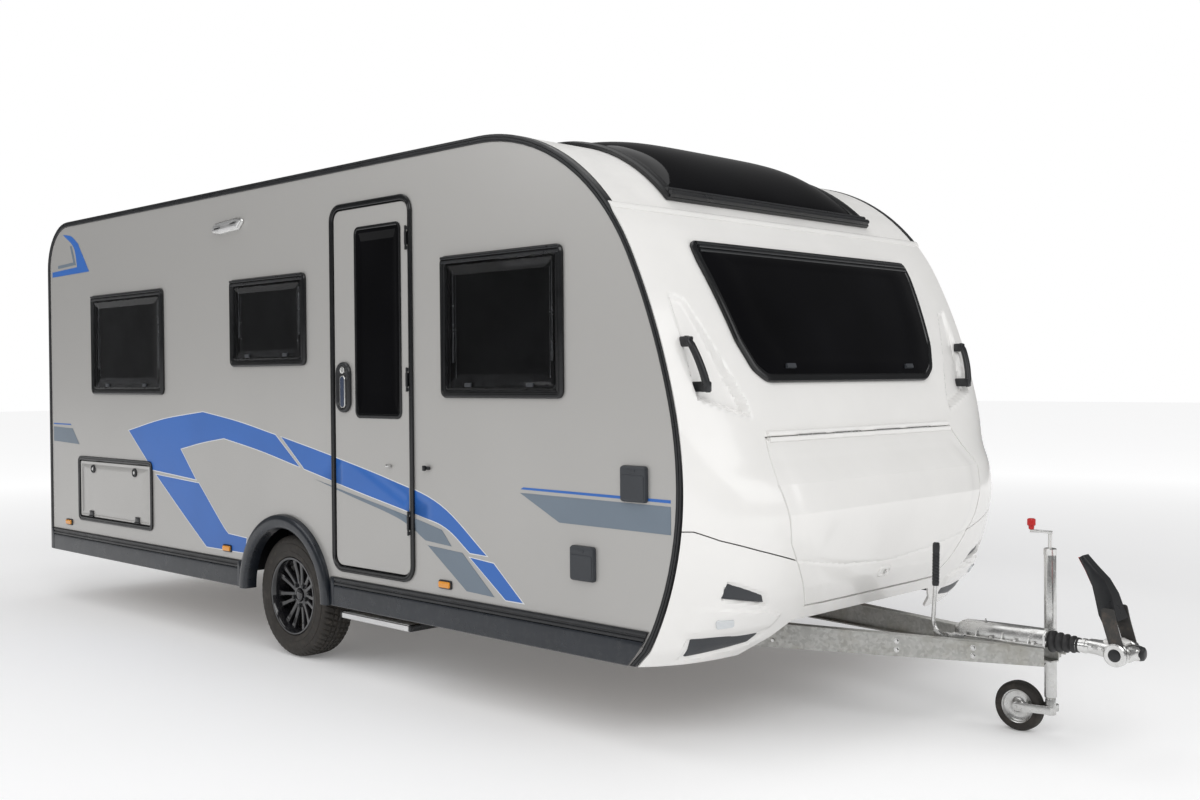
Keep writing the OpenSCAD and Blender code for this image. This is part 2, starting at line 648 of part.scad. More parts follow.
rail_end = rear_x + 420;
module c_beam(len, h0, h1, top_z) {
  web = [[0, top_z - h0], [len, top_z - h1], [len, top_z], [0, top_z]];
  slab(-steel_t, 0) polygon(web);
  slab(-flange_w, -steel_t + 0.01) {
    polygon([[0, top_z - steel_t], [len, top_z - steel_t], [len, top_z], [0, top_z]]);
    polygon([[0, top_z - h0], [len, top_z - h1], [len, top_z - h1 + steel_t], [0, top_z - h0 + steel_t]]);
  }
}
rail_top = floor_z - e;
module chassis_rails() color("silver") for (s = [0, 1]) mirror([0, s, 0]) {
  translate([rail_end, rail_y, 0]) c_beam(kink_x - rail_end, rail_h, rail_h, rail_top);
  box([jack_x - 60, rail_y - flange_w, rail_top - rail_h - 6],
      [jack_x + 60, rail_y, rail_top - rail_h + 1]);
}
jack_x = axle_x + 450;    // middle of the plates that a jack lifts under

beam_top = 384;
front_y = 66;             // half the gap between the beams' outer faces at the coupling
beam_x0 = kink_x + 2;      // clear of the rail's end, as the beam stands askew to it
beam_x1 = tip_x - 360;
beam_a = atan((rail_y - steel_t - e - front_y) / (beam_x1 - beam_x0));
beam_len = (beam_x1 - beam_x0) / cos(beam_a);
module drawbar_beam() color("silver")
  translate([beam_x0, rail_y - steel_t - e, 0]) rotate([0, 0, -beam_a])
    c_beam(beam_len, beam_rear_h, beam_front_h, beam_top);
beam_rear_h = 128;
module drawbar_left() drawbar_beam();
module drawbar_right() on_right() drawbar_beam();

// Cross members between the rails, the steadies' brackets and the step's runners
module cross_members() color("silver") {
  y = rail_y - steel_t - e;
  for (x = [rail_end + 60, axle_x - 900, axle_x + 900])
    box([x, -y, rail_top - 84], [x + 50, y, rail_top - 24]);
  for (x = [steady_front_x, steady_rear_x], s = [0, 1]) mirror([0, s, 0]) {
    box([x - 30, steady_y - 42, rail_top - 6], [x + 30, steady_y + 42, rail_top]);
    for (d = [-42, 34 + pin_gap])
      box([x - 25, steady_y + d, steady_z - 20], [x + 25, steady_y + d + 8 - pin_gap, rail_top - 5]);
  }
  on_right() for (x = step_bar_x) difference() {
    box([x - 6, half_w - 560, step_z + 32 + pin_gap], [x + 36, half_w - 200, rail_top]);
    box([x - pin_gap, half_w - 560 - cut, step_z],
        [x + 30 + pin_gap, half_w - 200 + cut, step_z + 50 + pin_gap]);
  }
}

axle_z = tyre_d / 2;
tyre_y = half_w - wheel_inset - tyre_w / 2;
hub_y = tyre_y - 30;      // mounting face between the hub and the rim
axle_tube_x = axle_x + 165;
axle_tube_r = 45;
axle_tube_z = rail_top - rail_h - 6 - axle_tube_r;
module axle() color("silver") {
  rod_y(axle_tube_x, -hub_y + 120, hub_y - 120, axle_tube_z, axle_tube_r);
  for (s = [0, 1]) mirror([0, s, 0]) {
    box([axle_tube_x - 50, rail_y - 60, axle_tube_z + 20],
        [axle_tube_x + 50, rail_y + 10, rail_top - rail_h - e]);
    slab(hub_y - 130, hub_y - 90) hull() {
      translate([axle_tube_x, axle_tube_z]) circle(axle_tube_r - 3, $fn = 32);
      translate([axle_x, axle_z]) circle(38, $fn = 32);
    }
    rod_y(axle_x, hub_y - 91, hub_y - 71, axle_z, 132);
    rod_y(axle_x, hub_y - 75, hub_y - 20, axle_z, 17);
  }
}

module bolt_ring(y0, y1, r) for (i = [0 : 4])
  rotate([0, 72 * i + 90, 0]) rod_y(bolt_pcd / 2, y0, y1, 0, r);
module hub() color("dimgray") translate([axle_x, 0, axle_z]) difference() {
  union() {
    rod_y(0, hub_y - 69, hub_y - e, 0, 125);
    rod_y(0, hub_y - 1, hub_y + 16, 0, hub_bore_d / 2 - 0.05);
  }
  rod_y(0, hub_y - 70, hub_y - 12, 0, 17.5);
  bolt_ring(hub_y - 40, hub_y + cut, bolt_hole_d / 2);
}
module hub_left() hub();
module hub_right() on_right() hub();

module wheel_spin() translate([axle_x, tyre_y, axle_z]) rotate([-90, 0, 0]) children();
module rim() color("dimgray") wheel_spin() difference() {
  r = rim_d / 2;
  w = tyre_w / 2;
  union() {
    rotate_extrude($fn = 96) polygon([
      [r - 26, -w + 14], [r, -w + 14], [r, -w + 22], [r - 16, -w + 26], [r - 16, w - 34],
      [r, w - 22], [r, w - 8], [r - 14, w - 8], [r - 26, w - 40], [r - 26, -w + 14]]);
    translate([0, 0, -30]) cylinder(h = 34, r = 78);
    for (i = [0 : 6]) rotate([0, 0, i * 360 / 7])
      translate([40, -19, -8]) cube([r - 40 - 18, 38, 50]);
  }
  translate([0, 0, -30 - cut]) cylinder(h = 200, r = hub_bore_d / 2);
  rotate([90, 0, 0]) bolt_ring(-100, 100, bolt_hole_d / 2);
}
module rim_left() rim();
module rim_right() on_right() rim();

module tyre() color("black") wheel_spin() {
  r = tyre_d / 2;
  ri = rim_d / 2;
  w = tyre_w / 2;
  rotate_extrude($fn = 120) polygon([
    [ri - 15.5, -w + 27], [ri + 0.5, -w + 22.4], [ri + 4, -w + 8], [ri + 30, -w + 1], [r - 60, -w],
    [r - 18, -w + 14], [r - 4, -w + 30], [r, -w + 50], [r, w - 50], [r - 4, w - 30],
    [r - 18, w - 14], [r - 60, w], [ri + 30, w - 1], [ri + 4, w - 9], [ri + 0.5, w - 22],
    [ri - 15.5, w - 35], [ri - 15.5, w - 50], [r - 16, w - 46], [r - 16, -w + 46], [ri - 15.5, -w + 42]]);
}
module tyre_left() tyre();
module tyre_right() on_right() tyre();

// Sliding step under the door, on two bars in runners
step_x = door_x0 + 40;
step_w = 560;
step_z = 268;
step_bar_x = [step_x + 40, step_x + step_w - 70];
module entrance_step() color("silver") on_right() {
  box([step_x, half_w - 260, step_z], [step_x + step_w, half_w - 6, step_z + 32]);
  for (x = step_bar_x) box([x, half_w - 560, step_z + 31], [x + 30, half_w - 120, step_z + 50]);
}

// Corner steady: leg with its foot, stowed level under the floor
steady_y = half_w - 300;
module steady() color("silver") {
  y = steady_y;
  rod_y(0, y - 34, y + 34, 0, 12);
  difference() {
    box([-22, y - 26, -18], [steady_len, y + 26, 22]);
    box([24, y - 20, -cut - 18], [steady_len - 24, y + 20, 12]);
  }
  translate([steady_len, y, 0]) rotate([0, -steady_a, 0]) translate([-40, -50, -7]) cube([80, 100, 7.1]);
}
steady_z = 350;
steady_a = 60;           // angle at which the lowered legs stand
steady_front_x = front_x - 980;
steady_rear_x = rear_x + 720;
module steady_at(x, fore) translate([x, 0, steady_z]) mirror([fore ? 0 : 1, 0, 0]) steady();
module corner_steadies_front_left() steady_at(steady_front_x, true);
module corner_steadies_front_right() on_right() steady_at(steady_front_x, true);
module corner_steadies_rear_left() steady_at(steady_rear_x, false);
module corner_steadies_rear_right() on_right() steady_at(steady_rear_x, false);

// Coupling: overrun housing on the drawbar, tube, bellows and the ball head
module coupling_housing() color("silver") {
  x0 = tip_x - 755;
  box([x0, -58, beam_top + e], [beam_x1, 58, beam_top + 8]);
  box([x0, -40, beam_top + 7], [beam_x1 - 4, 40, beam_top + 62]);
  box([beam_x1 - 8, -58, beam_top + e], [beam_x1, 58, beam_top + 62]);
  box([brake_x - 24, brake_y + 22 + pin_gap, brake_z - 26], [x0 + 60, brake_y + 30, beam_top + 8]);
  box([x0, brake_y + 29, beam_top + e], [x0 + 60, -40, beam_top + 8]);
}

module coupling_head() color("silver") {
  x0 = beam_x1 + pin_gap;
  z = ball_z;
  color("black") for (i = [0 : 3]) rod_x(x0 + 27 * i, x0 + 20 + 27 * i, 0, z + 6, 42 - 3 * i);
  rod_x(x0, x0 + 236, 0, z + 6, 26);
  difference() {
    union() {
      box([x0 + 220, -36, z - 22], [tip_x - 12, 36, z + 34]);
      for (s = [0, 1]) mirror([0, s, 0]) rod_y(ball_x, 35, 56, z, 44);
      rod_x(tip_x - 40, tip_x, 0, z + 6, 27);
    }
    translate([ball_x, 0, z - 60]) cylinder(h = 60, r = ball_d / 2 + 0.2);
    translate([ball_x, 0, z]) sphere(ball_d / 2 + 0.2);
  }
}

// Stabiliser lever: two cheeks outside the friction discs and the handle above the head
ball_x = tip_x - 86;
cheek_y = 56 + e;
module stabiliser_lever() color("black") {
  x = ball_x;
  z = ball_z;
  for (s = [0, 1]) mirror([0, s, 0]) slab(cheek_y, cheek_y + 9) polygon([
    [x - 22, z - 16], [x + 22, z - 16], [x + 30, z + 30], [x - 6, z + 170], [x - 52, z + 170]]);
  slab(-cheek_y - 1, cheek_y + 1) polygon([[x - 2, z + 110], [x - 42, z + 122], [x - 84, z + 260],
    [x - 140, z + 345], [x - 118, z + 356], [x - 44, z + 250]]);
}

// Handbrake lever beside the housing: a bent rod with a grip
brake_x = tip_x - 768;
brake_y = -90;
brake_z = beam_top - 24;
module handbrake_lever() color("silver") translate([brake_x, 0, brake_z]) {
  rod_y(0, brake_y - 22, brake_y + 22, 0, 12);
  slab(brake_y - 9, brake_y + 9) polygon([[-9, 0], [9, 0], [-43, 66], [-30, 224], [-48, 224], [-63, 62]]);
  color("black") slab(brake_y - 15, brake_y + 15) polygon([[-22, 222], [-18, 400], [-52, 400], [-56, 222]]);
}

// Jockey wheel on the left of the drawbar's front end: the tube slides in its clamp,
// the leg winds out of the tube, and the fork swivels under the leg.
jockey_x = tip_x - 418;
jockey_y = beam_y(jockey_x) + 36;
jockey_trail = 130;
jockey_z = jockey_d / 2;
function beam_y(x) = front_y + (beam_x1 - x) * tan(beam_a);
module jockey_clamp() color("silver") difference() {
  union() {
    translate([jockey_x, jockey_y, 306]) cylinder(h = 62, r = jockey_tube_d / 2 + 6);
    box([jockey_x - 20, beam_y(jockey_x - 20) + e, 312], [jockey_x + 20, jockey_y, 362]);
    rod_x(jockey_x + 28, jockey_x + 60, jockey_y + 6, 337, 7);
  }
  translate([jockey_x, jockey_y, 300]) cylinder(h = 90, r = jockey_tube_d / 2 + 0.3);
}

module jockey_tube() color("silver") {
  difference() {
    translate([jockey_x, jockey_y, 156]) cylinder(h = 590, r = jockey_tube_d / 2);
    translate([jockey_x, jockey_y, 150]) cylinder(h = 590, r = jockey_tube_d / 2 - 3.5);
  }
  translate([jockey_x, jockey_y, 745]) cylinder(h = 60, r = 8);
  box([jockey_x - 84, jockey_y - 6, 804], [jockey_x + 6, jockey_y + 6, 816]);
  color("red") translate([jockey_x - 78, jockey_y, 816]) cylinder(h = 44, r = 17);
}

module jockey_leg() color("silver") translate([jockey_x, jockey_y, 150])
  difference() {
    cylinder(h = 480, r = jockey_tube_d / 2 - 3.8);
    translate([0, 0, 10]) cylinder(h = 480, r = jockey_tube_d / 2 - 7);
  }

module jockey_fork() color("silver") {
  translate([jockey_x, jockey_y, 84]) cylinder(h = 66 - pin_gap, r = 21);
  for (s = [-1, 1]) {
    y0 = jockey_y + s * (jockey_w / 2 + 9);
    slab(y0 - 3, y0 + 3) polygon([[jockey_x - 18, 124], [jockey_x + 18, 124], [jockey_x + 18, 92],
      [jockey_x - jockey_trail, 84], [jockey_x - jockey_trail - 14, 92],
      [jockey_x - jockey_trail - 14, 110], [jockey_x - jockey_trail, 117]]);
  }
  box([jockey_x - 14, jockey_y - jockey_w / 2 - 12, 94], [jockey_x + 18, jockey_y + jockey_w / 2 + 12, 122]);
  rod_y(jockey_x - jockey_trail, jockey_y - jockey_w / 2 - 13, jockey_y + jockey_w / 2 + 13,
    jockey_z, jockey_bore_r - 0.05);
}
jockey_bore_r = 6;

module jockey_wheel() color("dimgray")
  translate([jockey_x - jockey_trail, jockey_y, jockey_z]) rotate([-90, 0, 0])
    rotate_extrude($fn = 72) polygon([
      [jockey_bore_r, -jockey_w / 2 - 3], [20, -jockey_w / 2 - 3], [24, -16], [jockey_d / 2 - 36, -16],
      [jockey_d / 2 - 30, -jockey_w / 2], [jockey_d / 2 - 10, -jockey_w / 2], [jockey_d / 2, -jockey_w / 4],
      [jockey_d / 2, jockey_w / 4], [jockey_d / 2 - 10, jockey_w / 2], [jockey_d / 2 - 30, jockey_w / 2],
      [jockey_d / 2 - 36, 16], [24, 16], [20, jockey_w / 2 + 3], [jockey_bore_r, jockey_w / 2 + 3]]);

side_wall_right();
side_wall_left();
roof_panel();
rear_wall();
floor_panel();
front_panel();
front_bumper();
locker_lid();
locker_box();
edge_trim_right();
edge_trim_left();
panorama_window();
front_window();
window_right_front();
window_right_middle();
window_right_rear();
windows_left();
rear_window();
rooflights();
door_frame();
entrance_door();
door_handle();
hatch_frame();
cargo_hatch();
service_frame();
service_hatch();
skirt_right();
skirt_left();
wheel_arch_right();
wheel_arch_left();
wheel_boxes();
wall_fittings();
grab_handles();
rear_bumper();
tail_lights();
chassis_rails();
cross_members();
drawbar_right();
drawbar_left();
axle();
hub_right();
hub_left();
rim_right();
rim_left();
tyre_right();
tyre_left();
entrance_step();
corner_steadies_rear_right();
corner_steadies_rear_left();
corner_steadies_front_right();
corner_steadies_front_left();
coupling_housing();
coupling_head();
stabiliser_lever();
handbrake_lever();
jockey_clamp();
jockey_tube();
jockey_leg();
jockey_fork();
jockey_wheel();
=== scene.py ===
"""Looks for a single-axle travel caravan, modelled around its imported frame.

The file is laid out as an add-on: sizes and colours are properties, each piece or group of
pieces has an operator, and a panel in the sidebar lists them. Lengths are in metres, with
+X forward to the coupling, +Y left and +Z up from the ground.
"""
import math

import bmesh
import bpy
from mathutils import Matrix, Vector


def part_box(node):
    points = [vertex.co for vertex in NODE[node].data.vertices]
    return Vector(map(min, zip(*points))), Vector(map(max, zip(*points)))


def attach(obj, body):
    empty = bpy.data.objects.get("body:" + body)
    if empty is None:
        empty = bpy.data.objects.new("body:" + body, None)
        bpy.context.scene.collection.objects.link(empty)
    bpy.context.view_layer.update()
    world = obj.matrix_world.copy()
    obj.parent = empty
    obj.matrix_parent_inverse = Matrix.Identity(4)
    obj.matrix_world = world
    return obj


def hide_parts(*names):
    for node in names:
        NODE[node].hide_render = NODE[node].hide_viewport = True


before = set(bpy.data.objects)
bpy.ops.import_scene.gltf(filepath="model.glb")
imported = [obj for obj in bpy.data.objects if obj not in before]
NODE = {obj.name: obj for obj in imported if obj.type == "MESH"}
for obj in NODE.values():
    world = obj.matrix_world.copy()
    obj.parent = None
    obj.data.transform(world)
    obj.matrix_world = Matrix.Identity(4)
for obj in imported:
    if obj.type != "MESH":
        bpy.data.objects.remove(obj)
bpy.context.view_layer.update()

bl_info = {
    "name": "Travel caravan",
    "version": (1, 0, 0),
    "blender": (4, 5, 0),
    "location": "View3D > Sidebar > Caravan",
    "description": "Models the panels, windows, wheels and hitch of a travel caravan",
    "category": "Add Mesh",
}

BODY = "caravan_body"


def colour(name, text, value):
    return bpy.props.FloatVectorProperty(
        name=name, description=text, default=value, subtype="COLOR", size=3, min=0, max=1)


def length(name, text, value):
    return bpy.props.FloatProperty(
        name=name, description=text, default=value, unit="LENGTH", min=0)


class CaravanColours(bpy.types.PropertyGroup):
    wall: colour("Wall", "Paint of the side walls, door and hatch", (0.435, 0.427, 0.413))
    white: colour("White", "Front mouldings, roof and rear", (0.86, 0.85, 0.83))
    black: colour("Black", "Frames, trims and handles", (0.012, 0.013, 0.015))
    skirt: colour("Skirt", "Skirts and wheel arches", (0.010, 0.014, 0.021))
    grey: colour("Grey plastic", "Covers and bumper inserts", (0.036, 0.040, 0.047))
    blue: colour("Blue stripes", "Blue vinyl stripes", (0.024, 0.130, 0.46))
    slate: colour("Grey stripes", "Grey vinyl stripes", (0.15, 0.19, 0.235))
    glass: colour("Window panes", "Tinted acrylic of the windows", (0.0025, 0.0025, 0.003))
    zinc: colour("Zinc", "Galvanised steel", (0.50, 0.50, 0.48))
    bright: colour("Bright metal", "Plated steel and aluminium", (0.72, 0.72, 0.71))
    rim: colour("Rims", "Gloss black wheels", (0.010, 0.010, 0.012))
    rubber: colour("Rubber", "Tyres", (0.030, 0.026, 0.022))
    amber: colour("Amber", "Side marker lamps", (0.85, 0.33, 0.02))
    red: colour("Red", "Tail lamps, knob and lever accents", (0.55, 0.012, 0.012))


class CaravanSizes(bpy.types.PropertyGroup):
    window_frame: length("Window frame", "Width of the window frames' profile", 0.036)
    window_proud: length("Window depth", "How far the window frames stand out", 0.018)
    door_frame: length("Door frame", "Width of the door frame's profile", 0.026)
    hatch_frame: length("Hatch frame", "Width of the hatch frames' profile", 0.026)
    stripe: length("Stripes", "Thickness of the vinyl stripes", 0.0006)
    stripe_gap: length("Stripe gap", "How far the stripes lie over the wall", 0.0004)
    skin: length("Moulding", "Thickness of the front mouldings' skin", 0.012)
    trim: length("Edge trim", "Width of the black edge trims", 0.032)
    tread: length("Tread", "Depth of the tyres' tread grooves", 0.007)
    bolt: length("Bolt", "Width of the larger bolt heads", 0.019)


# ---------------------------------------------------------------- modelling helpers

def deselect():
    bpy.ops.object.select_all(action="DESELECT")


def only(obj):
    deselect()
    obj.select_set(True)
    bpy.context.view_layer.objects.active = obj


def settle(obj, name, angle=32.0):
    """Name the piece, keep its place in its mesh, and shade it smooth up to an angle."""
    only(obj)
    bpy.ops.object.transform_apply(location=True, rotation=True, scale=True)
    bpy.ops.object.shade_smooth_by_angle(angle=math.radians(angle))
    obj.name = name
    obj.data.name = name
    return obj


def edit_all(*steps):
    """Run mesh operators on the whole active mesh in edit mode."""
    bpy.ops.object.mode_set(mode="EDIT")
    for step in steps:
        bpy.ops.mesh.select_all(action="SELECT")
        step()
    bpy.ops.object.mode_set(mode="OBJECT")


def outwards():
    bpy.ops.mesh.normals_make_consistent(inside=False)


def weld():
    bpy.ops.mesh.remove_doubles(threshold=1e-6)


def modifier(obj, kind, **values):
    only(obj)
    mod = obj.modifiers.new(kind.title(), kind)
    for key, value in values.items():
        setattr(mod, key, value)
    bpy.ops.object.modifier_apply(modifier=mod.name)


def soften(obj, width, segments=2, angle=35.0):
    modifier(obj, "BEVEL", width=width, segments=segments, limit_method="ANGLE",
             angle_limit=math.radians(angle), use_clamp_overlap=True)


def surface(name, rows, closed=False, ring=False, thick=0.0, angle=32.0):
    """A grid shaped to rows of points. closed joins the rows' ends, ring the first and last row."""
    rows = [list(row) + ([row[0]] if closed else []) for row in rows]
    if ring:
        rows.append(rows[0])
    bpy.ops.mesh.primitive_grid_add(x_subdivisions=len(rows[0]) - 1, y_subdivisions=len(rows) - 1)
    obj = bpy.context.object
    flat = [c for row in rows for point in row for c in point]
    obj.data.vertices.foreach_set("co", flat)
    obj.data.update()
    if closed or ring or thick == 0.0:
        edit_all(weld, outwards)
    if thick:
        modifier(obj, "SOLIDIFY", thickness=thick, offset=-1.0, use_even_offset=False)
        edit_all(weld)
    return settle(obj, name, angle)


def collapse(row):
    middle = sum((Vector(p) for p in row), Vector()) / len(row)
    return [middle] * len(row)


def capped(name, rows, angle=32.0):
    """A closed body through rings of points, closed at both ends."""
    return surface(name, [collapse(rows[0])] + rows + [collapse(rows[-1])], True, angle=angle)


def plate(name, outline, place, depth, bevel=0.0, segments=2, angle=32.0):
    """A flat outline of (u, v) pairs, put in space by place(u, v) and made depth thick."""
    bpy.ops.mesh.primitive_circle_add(vertices=len(outline), fill_type="NGON")
    obj = bpy.context.object
    for vertex, (u, v) in zip(obj.data.vertices, outline):
        vertex.co = place(u, v)
    step = tuple(depth)
    edit_all(lambda: bpy.ops.mesh.extrude_region_move(TRANSFORM_OT_translate={"value": step}),
             outwards)
    if bevel:
        soften(obj, bevel, segments)
    return settle(obj, name, angle)


def block(name, low, high, bevel=0.003, segments=2):
    """A box between two corners with rounded edges."""
    low, high = Vector(low), Vector(high)
    bpy.ops.mesh.primitive_cube_add(size=1, location=(low + high) / 2, scale=high - low)
    obj = bpy.context.object
    bpy.ops.object.transform_apply(location=True, rotation=True, scale=True)
    edit_all(lambda: bpy.ops.mesh.bevel(offset=bevel, segments=segments, affect="EDGES"))
    return settle(obj, name)


def frame_axes(direction):
    d = Vector(direction).normalized()
    side = d.cross(Vector((0, 0, 1) if abs(d.z) < 0.9 else (1, 0, 0))).normalized()
    return d, side, d.cross(side)


def turned(name, start, direction, profile, steps=32, angle=32.0, full=True):
    """A body turned round an axis from a profile of (along, radius) pairs."""
    start = Vector(start)
    d, a, b = frame_axes(direction)
    rows = []
    for along, radius in profile:
        rows.append([start + d * along + (a * math.cos(t) + b * math.sin(t)) * max(radius, 0)
                     for t in (2 * math.pi * i / steps for i in range(steps))])
    if not full:
        return surface(name, rows, True, True, angle=angle)
    return capped(name, rows, angle)


def rod(name, a, b, r, bevel=0.001, steps=20):
    a, b = Vector(a), Vector(b)
    n = (b - a).length
    k = min(bevel, r / 3, n / 3)
    return turned(name, a, b - a, [(0, r - k), (k, r), (n - k, r), (n, r - k)], steps)


def pipe(name, points, r, steps=14, smooth=4):
    """A round bar along a bent line."""
    points = [Vector(p) for p in points]
    line = []
    for i, p in enumerate(points):
        if 0 < i < len(points) - 1:
            before = (points[i - 1] - p).normalized()
            after = (points[i + 1] - p).normalized()
            bend = min(3 * r, (points[i - 1] - p).length / 2.2, (points[i + 1] - p).length / 2.2)
            for k in range(smooth + 1):
                t = k / smooth
                line.append((p + before * bend) * (1 - t) ** 2 + p * 2 * t * (1 - t)
                            + (p + after * bend) * t * t)
        else:
            line.append(p)
    rows = []
    side = None
    for i, p in enumerate(line):
        d = (line[min(i + 1, len(line) - 1)] - line[max(i - 1, 0)]).normalized()
        if side is None:
            d, side, _ = frame_axes(d)
        side = (side - d * side.dot(d)).normalized()
        up = d.cross(side)
        rows.append([p + (side * math.cos(t) + up * math.sin(t)) * r
                     for t in (2 * math.pi * k / steps for k in range(steps))])
    return capped(name, rows)


def join(name, pieces, angle=32.0):
    deselect()
    for piece in pieces:
        piece.select_set(True)
    bpy.context.view_layer.objects.active = pieces[0]
    bpy.ops.object.join()
    return settle(bpy.context.object, name, angle)


def inset(points, d):
    """The outline moved in by d, edge by edge. Outlines run counter-clockwise."""
    out = []
    n = len(points)
    for i in range(n):
        p, q, r = (Vector(points[(i + k) % n]) for k in (-1, 0, 1))
        a, b = (q - p).normalized(), (r - q).normalized()
        na, nb = Vector((-a.y, a.x)), Vector((-b.y, b.x))
        miter = na + nb
        out.append(q + miter * (d / max(0.2, miter.dot(na))))
    return out


def rounded(points, radius, n=6):
    """The outline with its corners rounded to a radius, or to one radius for each corner."""
    out = []
    count = len(points)
    for i in range(count):
        p, q, r = (Vector(points[(i + k) % count]) for k in (-1, 0, 1))
        rad = radius[i] if isinstance(radius, (list, tuple)) else radius
        a, b = (p - q).normalized(), (r - q).normalized()
        half = math.acos(max(-1, min(1, a.dot(b)))) / 2
        reach = min(rad / math.tan(half), (p - q).length * 0.49, (r - q).length * 0.49)
        rad = reach * math.tan(half)
        centre = q + (a + b).normalized() * (rad / math.sin(half))
        start, end = q + a * reach - centre, q + b * reach - centre
        turn = math.atan2(start.x * end.y - start.y * end.x, start.dot(end))
        for k in range(n + 1):
            t = turn * k / n
            out.append(centre + Vector((start.x * math.cos(t) - start.y * math.sin(t),
                                        start.x * math.sin(t) + start.y * math.cos(t))))
    return out


def rect(u0, v0, u1, v1):
    return [(u0, v0), (u1, v0), (u1, v1), (u0, v1)]


def along_edges(points, step):
    """The outline with more points on its long edges."""
    out = []
    for i, p in enumerate(points):
        p, q = Vector(p), Vector(points[(i + 1) % len(points)])
        n = max(1, int((q - p).length / step))
        out.extend(p.lerp(q, k / n) for k in range(n))
    return out


def moulding(name, outline, radius, profile, place, angle=30.0):
    """A frame that follows an outline. The profile is a closed loop of (inset, height) pairs."""
    rows = []
    for d, h in profile:
        corners = rounded(inset(outline, d), max(0.002, radius - d))
        rows.append([place(u, v, h) for u, v in corners])
    return surface(name, rows, True, True, angle=angle)


def pane(name, outline, radius, rings, place, steps=5, angle=30.0):
    """A pane or panel through rings of (inset, height) pairs, closed by shrinking to its middle."""
    rows = []
    for d, h in rings:
        rows.append([(u, v, h) for u, v in rounded(inset(outline, d), max(0.002, radius - d))])
    last = rows[-1]
    mid = sum((Vector(p) for p in last), Vector()) / len(last)
    for k in range(1, steps):
        rows.append([Vector(p).lerp(Vector((mid.x, mid.y, p[2])), k / steps) for p in last])
    rows = [[place(*p) for p in row] for row in rows]
    first = [Vector(p) for p in rows[0]]
    return surface(name, [collapse(first)] + rows + [collapse(rows[-1])], True, angle=angle)


def on_right(x, z, h=0.0):
    return Vector((x, -(HALF_W + h), z))


def on_left(x, z, h=0.0):
    return Vector((x, HALF_W + h, z))


def on_rear(y, z, h=0.0):
    return Vector((REAR_X - h, y, z))


def mirrored(obj, name):
    """A copy on the other side of the caravan, with its own mesh."""
    only(obj)
    bpy.ops.object.duplicate()
    copy = bpy.context.object
    bpy.ops.transform.mirror(constraint_axis=(False, True, False), center_override=(0, 0, 0))
    bpy.ops.object.transform_apply(location=True, rotation=True, scale=True)
    edit_all(outwards)
    copy.name = name
    copy.data.name = name
    return copy


def give(obj, finish_name, slot_name, *nodes, body=BODY):
    """Set a piece's finish, attach it to its body, and hide the CAD nodes that it stands for.
    slot_name is not used.
    """
    obj.data.materials.clear()
    obj.data.materials.append(MATS[finish_name])
    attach(obj, body)
    if nodes:
        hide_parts(*nodes)


def dress(finish_name, *nodes):
    """Give CAD nodes that stay in view their finish."""
    for name in nodes:
        mesh = NODE[name].data
        mesh.materials.clear()
        mesh.materials.append(MATS[finish_name])
        for face in mesh.polygons:
            face.material_index = 0


# ---------------------------------------------------------------- shape of the body

HALF_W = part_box("side_wall_left")[1].y
REAR_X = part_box("edge_trim_left")[0].x
FRONT_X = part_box("edge_trim_left")[1].x
AXLE_X = (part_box("rim_left")[0].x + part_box("rim_left")[1].x) / 2
AXLE_Z = (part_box("rim_left")[0].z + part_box("rim_left")[1].z) / 2
ROOF_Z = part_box("edge_trim_left")[1].z
TIP_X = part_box("coupling_head")[1].x
INNER_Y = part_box("side_wall_left")[0].y
SKIRT_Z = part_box("skirt_left")[0].z
NOSE_W = HALF_W - 0.002
SEAT = 0.0006               # gap between a wall and what is fitted on it
IN_WALL = -0.031            # how deep door and hatch frames reach into the wall

BELT_Z = 1.020
LOW_R, ROOF_R, CHIN_R, REAR_R = 1.46, 1.0, 1.26, 0.30
LOW_A, MID_A, SEAM_A, CHIN_A = (math.radians(a) for a in (13.1, 26.5, 38.6, 30.0))
LOW_C = (FRONT_X - LOW_R, BELT_Z)
LOW_Z = BELT_Z + LOW_R * math.sin(LOW_A)
MID_Z = ROOF_Z - ROOF_R * (1 - math.sin(MID_A))
MID_R = (MID_Z - LOW_Z) / (math.sin(MID_A) - math.sin(LOW_A))
MID_C = (LOW_C[0] + (LOW_R - MID_R) * math.cos(LOW_A), LOW_Z - MID_R * math.sin(LOW_A))
ROOF_C = (MID_C[0] + (MID_R - ROOF_R) * math.cos(MID_A), ROOF_Z - ROOF_R)
CHIN_C = (FRONT_X - CHIN_R, BELT_Z)
CHIN_Z = BELT_Z - CHIN_R * math.sin(CHIN_A)
CHIN_X = CHIN_C[0] + CHIN_R * math.cos(CHIN_A)
SEAM_Z = ROOF_C[1] + ROOF_R * math.sin(SEAM_A)
NOSE_BULGE = 0.215
BULGE = [(SKIRT_Z, 0.72), (0.60, 0.98), (0.90, 1.0), (1.02, 0.84), (1.11, 0.52),
         (1.20, 0.32), (1.40, 0.20), (1.60, 0.15), (2.00, 0.085), (SEAM_Z, 0.03)]


def between(table, x):
    """Straight lines through a table of (x, value) pairs."""
    if x <= table[0][0]:
        return table[0][1]
    for (x0, v0), (x1, v1) in zip(table, table[1:]):
        if x <= x1:
            return v0 + (v1 - v0) * (x - x0) / (x1 - x0)
    return table[-1][1]


